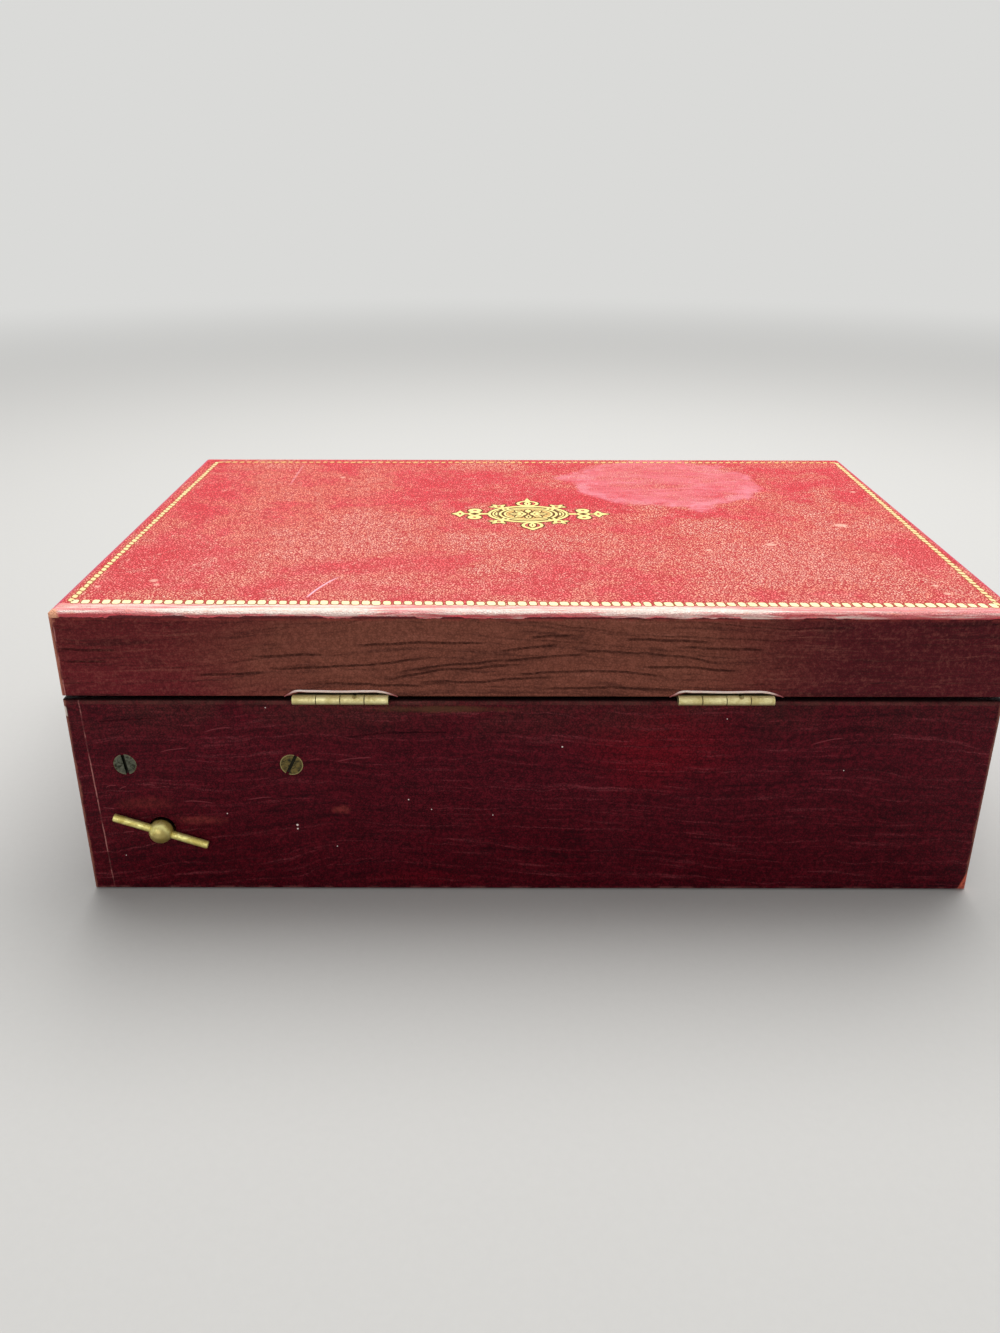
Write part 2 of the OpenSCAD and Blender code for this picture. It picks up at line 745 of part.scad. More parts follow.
// Leaf with every second knuckle; up is 1 for the lid's leaf and -1 for the base's
module hinge_leaf(up, first) {
    difference() {
        union() {
            block(-hinge_w / 2, hinge_w / 2, -leaf_reach, 0,
                up > 0 ? leaf_gap : -leaf_gap - leaf_t, up > 0 ? leaf_gap + leaf_t : -leaf_gap);
            for (i = [first : 2 : knuckles - 1])
                x_cylinder(barrel_r, knuckle_x(i), knuckle_x(i) + knuckle_l);
        }
        for (i = [1 - first : 2 : knuckles - 1])
            barrel_clearance(knuckle_x(i) - leaf_side_gap, knuckle_l + 2 * leaf_side_gap);
        x_cylinder(hinge_pin_r + run_gap, -hinge_w / 2 - 1, hinge_w / 2 + 1);
        if (first == 1) translate([knuckle_x(1) + nick_share * knuckle_l, 0, barrel_r + nick_rise])
            rotate([90, 0, 0]) cylinder(r = nick_r, h = 4 * barrel_r, center = true);
        for (i = [0 : leaf_screws - 1])
            translate([leaf_screw_x(i), screw_line_y - axis_y, up * leaf_gap])
                mirror([0, 0, up > 0 ? 1 : 0])
                sunk_screw(pin_screw_head_r, pin_screw_r, pin_screw_l, 0, 0, run_gap);
    }
}

module hinge_base_leaves() brass_colour() at_hinges() hinge_leaf(-1, 0);
module hinge_lid_leaves() brass_colour() at_hinges() hinge_leaf(1, 1);
module hinge_pins() brass_colour() at_hinges() x_cylinder(hinge_pin_r, -hinge_w / 2, hinge_w / 2);

module leaf_screw() {
    sunk_screw(pin_screw_head_r, pin_screw_r, pin_screw_l, pin_screw_slot, leaf_slot_turn, 0);
}

module base_leaf_screws() brass_colour() at_leaf_screws() translate([0, 0, -leaf_gap]) leaf_screw();
module lid_leaf_screws() brass_colour() at_leaf_screws() translate([0, 0, leaf_gap])
    mirror([0, 0, 1]) leaf_screw();

// Room in the leather for the leaves
module hinge_seats(up) {
    at_hinges() block(-hinge_w / 2 - edge_gap, hinge_w / 2 + edge_gap, -leaf_reach - edge_gap, 1,
        up > 0 ? -1 : -leaf_gap - leaf_t, up > 0 ? leaf_gap + leaf_t : 1);
}

// Notches in the lid's back over the barrels, wider at the rim
module hinge_notches() {
    half = hinge_w / 2 + notch_side;
    at_hinges() translate([0, half_d - axis_y + 1, lid_z - axis_z]) rotate([90, 0, 0])
        linear_extrude(notch_in + 1) polygon([[-half, -1], [half, -1], [half, 0],
            [half - notch_ramp, notch_h], [-half + notch_ramp, notch_h], [-half, 0]]);
}

// Lock: a case let into the front board, a bolt that slides sideways and a
// plate on the lid whose two ears drop through the case's top

module lock_block(grow) {
    block(-lock_w / 2 - grow, lock_w / 2 + grow, -inner_y - lock_t - grow, -inner_y + (grow > 0 ? 2 : 0),
        base_h - lock_h - grow, base_h + (grow > 0 ? 2 : 0));
}

module keyhole_outline(grow) {
    circle(keyhole_r + grow);
    translate([-keyhole_slot / 2 - grow, -keyhole_drop - grow])
        square([keyhole_slot + 2 * grow, keyhole_drop + grow]);
}

module along_keyhole(y0, y1) {
    translate([0, y1, keyhole_z]) rotate([90, 0, 0]) linear_extrude(y1 - y0) children();
}

module keyhole_cut(grow) {
    along_keyhole(-half_d - 1, -inner_y - lock_t + 1) keyhole_outline(keyhole_rim + grow);
}

module at_ears() {
    for (s = [-1, 1]) translate([s * ear_span / 2, ear_y, 0]) children();
}

module lock_case() brass_colour() difference() {
    lock_block(0);
    block(-lock_w / 2 + lock_wall, lock_w / 2 - lock_wall,
        -inner_y - lock_t + lock_wall, -inner_y - lock_wall,
        base_h - lock_h + lock_wall, base_h - lock_top_t);
    at_ears() block(-ear_t / 2 - fit_gap, ear_t / 2 + fit_gap, -ear_w / 2 - ear_gap, ear_w / 2 + ear_gap,
        base_h - lock_top_t - 1, base_h + 1);
    along_keyhole(-half_d, -inner_y - lock_wall - 1) keyhole_outline(0);
}

// Bar under the ears with a hooked prong beside each, notched for the key's bit
module lock_bolt() steel_colour() difference() {
    bar_z = bolt_z - ear_end - fit_gap;
    union() {
        bolt_block(-bolt_l / 2, bolt_l / 2, bar_z - bolt_drop, bar_z);
        for (s = [-1, 1]) {
            prong_x = s * ear_span / 2 - ear_t / 2 - bolt_gap;
            bolt_block(prong_x - prong_l, prong_x, bolt_z - bolt_h / 2, bolt_z + bolt_h / 2);
            bolt_block(prong_x - prong_l, prong_x - prong_l + bolt_h, bar_z - bolt_h, bolt_z + bolt_h / 2);
        }
    }
    block(-keyhole_slot, keyhole_slot, ear_y - bolt_t, ear_y + bolt_t,
        bar_z - bolt_drop - 1, bar_z - bolt_drop / 2);
}

module bolt_block(x0, x1, z0, z1) {
    block(x0, x1, ear_y - bolt_t / 2, ear_y + bolt_t / 2, z0, z1);
}

module lock_link_plate() brass_colour() {
    link_plate_body();
    at_ears() difference() {
        block(-ear_t / 2, ear_t / 2, -ear_w / 2, ear_w / 2, bolt_z - ear_end, lid_z + link_plate_t / 2);
        block(-ear_t, ear_t, -bolt_t / 2 - bolt_play, bolt_t / 2 + bolt_play,
            bolt_z - bolt_h / 2 - bolt_play, bolt_z + bolt_h / 2 + bolt_play);
    }
}

module link_plate_body() {
    block(-link_plate_w / 2, link_plate_w / 2, ear_y - link_plate_d / 2, ear_y + link_plate_d / 2,
        lid_z, lid_z + link_plate_t);
}

module link_plate_seat() {
    block(-link_plate_w / 2 - edge_gap, link_plate_w / 2 + edge_gap, ear_y - link_plate_d / 2 - edge_gap,
        ear_y + link_plate_d / 2 + edge_gap, lid_z - 1, lid_z + link_plate_t);
}

module keyhole_liner() brass_colour() along_keyhole(-half_d, -inner_y - lock_t - fit_gap / 2)
    difference() {
        keyhole_outline(keyhole_rim);
        keyhole_outline(0);
    }

// Movement: fixed pieces

module bedplate() brass_colour() in_movement() difference() {
    union() {
        translate([bed_x0, bed_y0, -bed_t]) cube([bed_x1 - bed_x0, bed_y1 - bed_y0, bed_t]);
        translate([comb_x0 - 1, comb_heel_y, -e])
            cube([comb_w + 2, comb_end_y - comb_heel_y, pedestal_top + e]);
        translate([near_screw_x, screw_rise, -e]) cylinder(r = boss_r, h = boss_h + e);
    }
    translate([0, 0, -bed_t - 1]) cylinder(r = arbor_r + run_gap, h = bed_t + 2);
    at_mounting_screws() mounting_screw(run_gap, 0);
    at_comb_screws() translate([0, 0, -comb_screw_l - comb_heel_t])
        cylinder(r = comb_screw_r + run_gap, h = comb_screw_l + 2 * comb_heel_t);
    translate([wheel_x, gov_screw_y, -bed_t - 1]) cylinder(r = comb_screw_r + run_gap, h = bed_t + 2);
    translate([click_x, click_y, -bed_t - 1]) cylinder(r = click_pin_r + run_gap, h = bed_t + 2);
}

module at_comb_screws() {
    for (s = [-1, 1])
        translate([comb_x0 + comb_w * (0.5 + s * 0.28), comb_screw_y, cyl_z + comb_heel_t / 2]) children();
}

// Length of a comb tooth's free part, longer towards the bass
function tooth_free(i) = comb_free_long - (comb_free_long - comb_free_short) * i / (comb_teeth - 1);

module comb() steel_colour() in_movement() difference() {
    union() {
        translate([comb_x0, comb_heel_y, cyl_z - comb_heel_t / 2])
            cube([comb_w, comb_end_y - comb_heel_y, comb_heel_t]);
        translate([comb_x0, comb_tip_y, cyl_z - tooth_t / 2]) cube([comb_w, comb_blade_l + 1, tooth_t]);
        for (i = [0 : comb_weights - 1])
            translate([comb_x0 + i * comb_pitch + comb_slot / 2, comb_tip_y + 1,
                cyl_z - tooth_t / 2 - weight_h])
                cube([comb_pitch - comb_slot, weight_l - i * weight_step, weight_h + e]);
    }
    for (i = [0 : comb_teeth])
        translate([comb_x0 + i * comb_pitch - comb_slot / 2, comb_tip_y - 1, 0])
            cube([comb_slot, tooth_free(i) + 1, 2 * cyl_z]);
    at_comb_screws() translate([0, 0, -comb_screw_l])
        cylinder(r = comb_screw_r + run_gap, h = comb_screw_l + 1);
}

module comb_screws() steel_colour() in_movement() at_comb_screws()
    round_screw(comb_screw_head_r, comb_screw_head_h, comb_screw_r, comb_screw_l, 0.5);

// Bearing bracket for the cylinder, in the plane across its axis
module bracket_outline() {
    difference() {
        union() {
            polygon([[-bracket_foot_w / 2, 0], [bracket_foot_w / 2, 0],
                [bracket_head_r, cyl_z], [-bracket_head_r, cyl_z]]);
            translate([0, cyl_z]) circle(bracket_head_r);
        }
        translate([0, cyl_z]) circle(cyl_arbor_r + run_gap);
    }
}

module cylinder_brackets() brass_colour() in_movement() {
    translate([near_bracket_x, 0, 0]) rotate([90, 0, 90]) linear_extrude(bracket_t) bracket_outline();
    translate([far_bracket_x, 0, 0]) rotate([90, 0, 90]) linear_extrude(far_bracket_t) bracket_outline();
}

module cheek_outline() {
    difference() {
        polygon([[gov_foot_y, 0], [gov_back_y, 0], [gov_back_y, gov_top_z + gov_bar_t],
            [worm_y - gov_ledge, gov_top_z + gov_bar_t], [gov_y - 2.4, gov_z + 2.6],
            [gov_y - 2.4, gov_z - 2.6], [worm_y - gov_ledge, gov_low_z], [gov_foot_y, gov_low_z]]);
        translate([gov_y, gov_z]) circle(gov_arbor_r + run_gap);
    }
}

module governor_frame() brass_colour() in_movement() difference() {
    union() {
        for (x = [cheek_x0, cheek_x0 + gov_w - cheek_t])
            translate([x, 0, 0]) rotate([90, 0, 90]) linear_extrude(cheek_t) cheek_outline();
        translate([cheek_x0, gov_foot_y, 0]) cube([gov_w, gov_back_y - gov_foot_y, gov_bar_t]);
        for (z = [gov_low_z, gov_top_z])
            translate([cheek_x0, worm_y - gov_ledge, z]) cube([gov_w, 2 * gov_ledge, gov_bar_t]);
    }
    translate([wheel_x, worm_y, gov_low_z + 0.4]) cylinder(r = spindle_r + run_gap, h = gov_top_z);
    translate([wheel_x, gov_screw_y, -1]) cylinder(r = comb_screw_r + run_gap, h = gov_bar_t + 2);
}

module governor_screw() steel_colour() in_movement() translate([wheel_x, gov_screw_y, gov_bar_t])
    round_screw(comb_screw_head_r, comb_screw_head_h, comb_screw_r, gov_bar_t + bed_t - 0.4, 0.5);

// Click that holds the ratchet wheel, with its pin
module ratchet_click() steel_colour() in_movement() translate([0, 0, ratchet_z]) {
    translate([click_x, click_y, -ratchet_z - bed_t + 0.2])
        cylinder(r = click_pin_r, h = bed_t + ratchet_z + 0.3);
    linear_extrude(ratchet_t) {
        translate([click_x, click_y]) circle(click_eye_r);
        polygon([[click_x - click_eye_r + 0.1, click_y - 0.5], [click_x + 0.6, click_y - click_eye_r + 0.1],
            [click_nose_x, click_nose_y], [click_nose_x - 1.2, click_nose_y - 0.2]]);
    }
}

module stop_rod_bracket() brass_colour() in_movement() difference() {
    union() {
        translate([rod_x - guide_w / 2, guide_low_y, 0])
            cube([guide_w, rod_bracket_y + 1 - guide_low_y, 1]);
        for (y = [guide_low_y, rod_bracket_y])
            translate([rod_x - guide_w / 2, y, 0]) cube([guide_w, 1, rod_z + guide_w / 2]);
    }
    translate([rod_x, 0, rod_z]) rotate([-90, 0, 0])
        cylinder(r = rod_r + run_gap, h = rod_bracket_y + guide_w);
}

module mounting_screws() brass_colour() in_movement() {
    for (i = [0, 1])
        translate([near_screw_x - i * screw_span, screw_rise, 0]) mounting_screw(0, slot_turns[i]);
}

// Movement: winding

module winding_arbor() steel_colour() in_movement()
    translate([0, 0, -hub_z - hub_bore]) cylinder(r = arbor_r, h = hub_z + hub_bore + drum_front + 0.6);

module ratchet_wheel() steel_colour() in_movement() translate([0, 0, ratchet_z])
    linear_extrude(ratchet_t) difference() {
        polygon([for (i = [0 : ratchet_teeth - 1], k = [0, 1])
            let (a = (i + k * 0.12) * 360 / ratchet_teeth, r = k == 0 ? ratchet_r - 1 : ratchet_r)
            [r * cos(a), r * sin(a)]]);
        circle(arbor_r + run_gap);
    }

module key_hub() brass_colour() in_movement() difference() {
    union() {
        translate([0, 0, -back_z - bar_out]) sphere(hub_r);
        translate([0, 0, -back_z - bar_out]) cylinder(r = hub_neck_r, h = bar_out + hub_in);
    }
    translate([0, 0, -hub_z - hub_bore]) cylinder(r = arbor_r + run_gap, h = hub_bore + 1);
    translate([0, 0, -back_z - bar_out]) rotate([0, 0, bar_tilt])
        x_cylinder(bar_r + run_gap, -hub_r - 1, hub_r + 1);
}

module key_bar() brass_colour() in_movement() translate([0, 0, -back_z - bar_out])
    rotate([0, 0, bar_tilt]) {
        x_cylinder(bar_r, -bar_l / 2 + bar_end, bar_l / 2 - bar_end);
        for (s = [0, 1]) rotate([0, 0, s * 180]) translate([bar_l / 2 - bar_end, 0, 0])
            rotate([0, 90, 0]) cylinder(r1 = bar_r, r2 = bar_r - bar_end, h = bar_end);
    }

// Movement: spring drum

module spring_drum() brass_colour() in_movement() {
    translate([0, 0, drum_z]) rotate_extrude() polygon([
        [arbor_r + run_gap, 0], [drum_r, 0], [drum_r, drum_h], [crown_in_r, drum_h],
        [crown_in_r, drum_h - crown_seat], [drum_r - drum_wall, drum_h - crown_seat - 1],
        [drum_r - drum_wall, drum_wall], [arbor_r + run_gap, drum_wall]]);
    for (i = [0 : crown_teeth - 1]) rotate([0, 0, i * 360 / crown_teeth])
        translate([crown_in_r, 0, drum_front - e]) rotate([90, 0, 90])
            linear_extrude(crown_rib_l) crown_tooth();
}

module crown_tooth() {
    h = crown_add + crown_ded + e;
    polygon([[-crown_root_w / 2, 0], [crown_root_w / 2, 0], [crown_tip_w / 2, h], [-crown_tip_w / 2, h]]);
}

module drum_cover() brass_colour() in_movement() translate([0, 0, drum_front - cover_t]) difference() {
    cylinder(r = crown_in_r - run_gap, h = cover_t);
    translate([0, 0, -1]) cylinder(r = arbor_r + run_gap, h = cover_t + 2);
}

function spring_radius(a) = spring_in_r + (spring_out_r - spring_in_r) * a / spring_end;

module mainspring() color("#5a6472") in_movement() translate([0, 0, drum_z + drum_wall + 0.3])
    linear_extrude(drum_h - drum_wall - crown_seat - 1.6) polygon(concat(
        [for (a = [0 : spring_step : spring_end]) (spring_radius(a) + spring_t / 2) * [cos(a), sin(a)]],
        [for (a = [spring_end : -spring_step : 0]) (spring_radius(a) - spring_t / 2) * [cos(a), sin(a)]]));

// Movement: pinned cylinder

module on_cylinder_axis() {
    in_movement() translate([0, 0, cyl_z]) rotate([90, 0, 90]) children();
}

function pins_on(i) = 4 + (i * 7) % 4;

module pinned_cylinder() brass_colour() on_cylinder_axis() {
    translate([0, 0, cyl_x0]) rotate_extrude() polygon([
        [cyl_arbor_r + run_gap, 1], [cyl_r - 0.5, 1], [cyl_r - 0.5, 0], [cyl_r, 0], [cyl_r, cyl_l],
        [cyl_r - 0.5, cyl_l], [cyl_r - 0.5, cyl_l - 1], [cyl_arbor_r + run_gap, cyl_l - 1]]);
    for (i = [0 : comb_teeth - 1], k = [0 : pins_on(i) - 1])
        translate([0, 0, comb_x0 + (i + 0.5) * comb_pitch])
            rotate([0, 0, i * 137.5 + k * 360 / pins_on(i) + (k % 2) * 11]) rotate([0, 90, 0])
            translate([0, 0, cyl_r - 0.3]) cylinder(r = cyl_pin_r, h = pin_h + 0.3, $fn = 6);
}

module cylinder_arbor() steel_colour() on_cylinder_axis()
    translate([0, 0, far_bracket_x]) cylinder(r = cyl_arbor_r, h = -crown_in_r - far_bracket_x);

module cylinder_gear() brass_colour() on_cylinder_axis() translate([0, 0, gear_x])
    spur_gear(gear_teeth, gear_pitch_r - gear_ded, gear_pitch_r + gear_add, gear_root_share, gear_tip_share,
        gear_t, cyl_arbor_r + run_gap);

module crown_pinion() steel_colour() on_cylinder_axis() translate([0, 0, -drum_r])
    spur_gear(crown_pinion_teeth, crown_pinion_r - crown_ded, crown_pinion_r + crown_add,
        pinion_root_share, pinion_tip_share, crown_rib_l, cyl_arbor_r + run_gap);

// Movement: governor

module on_governor_axis() {
    in_movement() translate([0, gov_y, gov_z]) rotate([90, 0, 90]) children();
}

module governor_arbor() steel_colour() on_governor_axis() {
    translate([0, 0, gear_x - 0.2]) rotate([0, 0, gov_phase])
        linear_extrude(gear_t + 0.4) polygon(gear_points(gov_pinion_teeth, gov_pinion_r - gear_ded,
            gov_pinion_r + gear_add, gov_root_share, gov_tip_share));
    translate([0, 0, gear_x]) cylinder(r = gov_arbor_r, h = cheek_x0 + gov_w - gear_x);
}

module worm_wheel() brass_colour() on_governor_axis()
    translate([0, 0, wheel_x - wheel_t / 2]) rotate([0, 0, wheel_phase])
    spur_gear(worm_wheel_teeth, wheel_root_r, wheel_tip_r, wheel_root_share, wheel_tip_share,
        wheel_t, gov_arbor_r + run_gap);

module on_fan_axis() {
    in_movement() translate([wheel_x, worm_y, 0]) children();
}

module fan_spindle() steel_colour() on_fan_axis() {
    translate([0, 0, gov_low_z + 0.5]) cylinder(r = spindle_r, h = fan_z + fan_h - gov_low_z - 0.5);
    translate([0, 0, gov_z - worm_turns * worm_pitch / 2])
        linear_extrude(worm_turns * worm_pitch, twist = -360 * worm_turns, slices = worm_turns * 8, $fn = 8)
            translate([worm_lift, 0]) circle(worm_r - worm_lift, $fn = 8);
}

module fan() brass_colour() on_fan_axis() translate([0, 0, fan_z]) difference() {
    union() {
        cylinder(r = fan_hub_r, h = fan_h);
        translate([-fan_r, -fan_t / 2, 0]) cube([2 * fan_r, fan_t, fan_h]);
    }
    translate([0, 0, -1]) cylinder(r = spindle_r + run_gap, h = fan_h + 2);
}

module stop_rod() steel_colour() in_movement() {
    translate([rod_x, rod_low_y, rod_z]) rotate([-90, 0, 0])
        cylinder(r = rod_r, h = rod_top_z - key_z - rod_low_y - rod_r);
    translate([rod_x, rod_top_z - key_z - rod_r, rod_z]) sphere(rod_r);
    translate([wheel_x + fan_r + fit_gap, worm_y, rod_z]) rotate([0, 90, 0])
        cylinder(r = finger_r, h = rod_x - wheel_x - fan_r - fit_gap);
}

base_front_board();
base_back_board();
base_side_boards();
base_floor_board();
base_leather();
underside_felt();
base_wall_liners();
base_floor_liner();
long_divider();
cross_dividers();
music_side_wall();
ring_roll_base();
ring_rolls();
glass_ledges();
music_glass();
hinge_base_leaves();
hinge_pins();
base_leaf_screws();
lock_case();
lock_bolt();
keyhole_liner();
lid_front_board();
lid_back_board();
lid_side_boards();
lid_top_board();
lid_side_leather();
lid_top_leather();
lid_wall_liners();
lid_top_liner();
mirror_glass();
mirror_frame();
hinge_lid_leaves();
lid_leaf_screws();
lock_link_plate();
bedplate();
cylinder_brackets();
comb();
comb_screws();
governor_frame();
governor_screw();
ratchet_click();
stop_rod_bracket();
mounting_screws();
winding_arbor();
ratchet_wheel();
key_hub();
key_bar();
spring_drum();
drum_cover();
mainspring();
pinned_cylinder();
cylinder_arbor();
cylinder_gear();
crown_pinion();
governor_arbor();
worm_wheel();
fan_spindle();
fan();
stop_rod();
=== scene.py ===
import math
import random
from types import SimpleNamespace

import bpy
from mathutils import Euler, Matrix, Vector


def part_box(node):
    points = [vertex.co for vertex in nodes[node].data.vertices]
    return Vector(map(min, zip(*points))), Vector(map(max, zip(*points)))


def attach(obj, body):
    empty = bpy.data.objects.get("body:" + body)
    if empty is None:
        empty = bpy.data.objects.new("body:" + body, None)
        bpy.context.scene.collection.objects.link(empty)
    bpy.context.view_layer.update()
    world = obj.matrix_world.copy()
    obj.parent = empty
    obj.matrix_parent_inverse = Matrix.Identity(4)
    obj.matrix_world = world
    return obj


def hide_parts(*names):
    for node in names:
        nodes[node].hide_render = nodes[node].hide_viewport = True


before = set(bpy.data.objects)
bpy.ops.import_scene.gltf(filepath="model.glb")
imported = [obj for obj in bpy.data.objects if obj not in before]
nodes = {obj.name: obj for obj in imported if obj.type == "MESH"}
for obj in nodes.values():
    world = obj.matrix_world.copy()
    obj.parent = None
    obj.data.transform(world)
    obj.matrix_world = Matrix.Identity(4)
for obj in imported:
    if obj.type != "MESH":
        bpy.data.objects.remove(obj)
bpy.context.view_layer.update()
scene = bpy.context.scene
bpy.ops.object.select_all(action="DESELECT")

print("camera")
cameraSet = {
    "place": (0.00986, 0.387, 0.2086),
    "tiltDown": 23.94,  # degrees below level, looking along -Y
    "roll": 0.1,
    "lens": 29.63,
    "filmWidth": 36,
}


def addCamera(values):
    level = Euler((math.radians(90 - values["tiltDown"]), 0, math.pi)).to_matrix()
    bpy.ops.object.camera_add(location=values["place"])
    camera = bpy.context.object
    camera.rotation_euler = (level @ Matrix.Rotation(math.radians(values["roll"]), 3, "Z")).to_euler()
    camera.name = "photoCamera"
    camera.data.lens = values["lens"]
    camera.data.sensor_width = values["filmWidth"]
    camera.data.clip_start = 0.01
    scene.camera = camera


addCamera(cameraSet)
scene.view_settings.view_transform = "Standard"


def tone(red, green, blue):  # screen colour, 0 to 255, as Blender's linear colour
    shades = []
    for part in (red, green, blue):
        part = part / 255
        shades.append(part / 12.92 if part <= 0.04045 else ((part + 0.055) / 1.055) ** 2.4)
    return (*shades, 1)


def tonesOf(values):
    return {name: tone(*value) for name, value in values.items() if isinstance(value, tuple)}


# A node's output in a material; sums and products of fields add nodes to it
class Field:
    def __init__(self, tree, socket):
        self.tree = tree
        self.socket = socket

    def math(self, operation, *others):
        node = self.tree.nodes.new("ShaderNodeMath")
        node.operation = operation
        for index, value in enumerate((self, *others)):
            plug(node, index, value)
        return Field(self.tree, node.outputs[0])

    def __add__(self, other):
        return self.math("ADD", other)

    def __sub__(self, other):
        return self.math("SUBTRACT", other)

    def __rsub__(self, other):
        return self.math("MULTIPLY_ADD", -1.0, other)

    def __mul__(self, other):
        return self.math("MULTIPLY", other)

    def __truediv__(self, other):
        return self.math("DIVIDE", other)

    def __abs__(self):
        return self.math("ABSOLUTE")

    # From start to end, smoothly, while the field goes from low to high
    def fade(self, low, high, start=0.0, end=1.0):
        node = self.tree.nodes.new("ShaderNodeMapRange")
        node.interpolation_type = "SMOOTHSTEP"
        for index, value in enumerate((self, low, high, start, end)):
            plug(node, index, value)
        return Field(self.tree, node.outputs[0])


def plug(node, socket, value):
    if isinstance(value, Field):
        value.tree.links.new(value.socket, node.inputs[socket])
    else:
        node.inputs[socket].default_value = value


# The largest of some fields
def anyOf(*fields):
    largest = fields[0]
    for field in fields[1:]:
        largest = largest.math("MAXIMUM", field)
    return largest


def vectorMath(operation, first, second=(0, 0, 0)):
    node = first.tree.nodes.new("ShaderNodeVectorMath")
    node.operation = operation
    plug(node, 0, first)
    plug(node, 1, second)
    return Field(first.tree, node.outputs["Value" if operation == "LENGTH" else "Vector"])


def vectorOf(x, y, z):
    node = x.tree.nodes.new("ShaderNodeCombineXYZ")
    for index, value in enumerate((x, y, z)):
        plug(node, index, value)
    return Field(x.tree, node.outputs[0])


def reachOf(x, y):
    return vectorMath("LENGTH", vectorOf(x, y, 0.0))


def noise(points, scale, detail=3.0, rough=0.55, distort=0.0, output=0):
    node = points.tree.nodes.new("ShaderNodeTexNoise")
    settings = (points, scale, detail, rough, distort)
    for socket, value in zip(("Vector", "Scale", "Detail", "Roughness", "Distortion"), settings):
        plug(node, socket, value)
    return Field(points.tree, node.outputs[output])


# Noise drawn out along one axis, which has the smaller scale
def drawnNoise(x, y, z, detail, rough=0.55, distort=0.0):
    return noise(vectorOf(x, y, z), 1.0, detail, rough, distort)


def mixed(share, first, second):
    node = share.tree.nodes.new("ShaderNodeMix")
    node.data_type = "RGBA"
    node.clamp_factor = True
    plug(node, 0, share)
    plug(node, 6, first)
    plug(node, 7, second)
    return Field(share.tree, node.outputs[2])


def relief(height, depth, normal=None, strength=1.0):
    node = height.tree.nodes.new("ShaderNodeBump")
    plug(node, "Height", height)
    plug(node, "Distance", depth)
    plug(node, "Strength", strength)
    if normal is not None:
        plug(node, "Normal", normal)
    return Field(height.tree, node.outputs["Normal"])


# New material with its shader, the object's points in millimetres, and their x, y and z
def startFinish(name, shaderValues):
    material = bpy.data.materials.new(name)
    material.use_nodes = True
    tree = material.node_tree
    shader = tree.nodes["Principled BSDF"]
    for socket, value in shaderValues.items():
        plug(shader, socket, value)
    place = Field(tree, tree.nodes.new("ShaderNodeTexCoord").outputs["Object"])
    millimetres = vectorMath("MULTIPLY", place, (1000, 1000, 1000))
    apart = tree.nodes.new("ShaderNodeSeparateXYZ")
    plug(apart, 0, millimetres)
    return material, shader, millimetres, [Field(tree, output) for output in apart.outputs]


# 1 inside an ellipse on two axes, fading out over its edge, which a noise frays
def patch(across, along, centre, size, edge, ragged, fray):
    reach = reachOf((across - centre[0]) / size[0], (along - centre[1]) / size[1])
    return ((ragged - 0.5) * fray + reach).fade(1.0, 1.0 - edge)


# The strongest of some patches: middle, half sizes, width of the edge, fraying and strength
def patches(across, along, items, ragged):
    spots = []
    for cx, cy, rx, ry, edge, fray, strength in items:
        spots.append(patch(across, along, (cx, cy), (rx, ry), edge, ragged, fray) * strength)
    return anyOf(*spots)


print("leather")
halfWidth = 140.0  # of the case, in millimetres
halfDepth = 94.0


# Pebbled goatskin grain: 0 in the creases and 1 on the pebbles
def pebbles(points, scale):
    drift = vectorMath("MULTIPLY", noise(points, scale * 0.6, 2.0, output=1), (0.9, 0.9, 0.9))
    cells = points.tree.nodes.new("ShaderNodeTexVoronoi")
    cells.feature = "DISTANCE_TO_EDGE"
    plug(cells, "Vector", vectorMath("ADD", points, drift))
    plug(cells, "Scale", scale)
    return Field(points.tree, cells.outputs["Distance"]).fade(0.0, 0.34)


# Long thin lines that run almost side by side, one at each step of the level
def ripples(level, spacing, width):
    return level.math("PINGPONG", spacing / 2).fade(width, 0.0)


# One crease from (x1, z1) to (x2, z2), bowed up by sag: 1 on it and 0 beside it
def crease(x, z, ends, width):
    x1, z1, x2, z2, sag = ends
    share = (x - x1) / (x2 - x1)
    level = share * (z2 - z1) + z1 + (1.0 - share) * share * (4 * sag)
    return abs(z - level).fade(width, 0.0) * abs(share - 0.5).fade(0.52, 0.32)


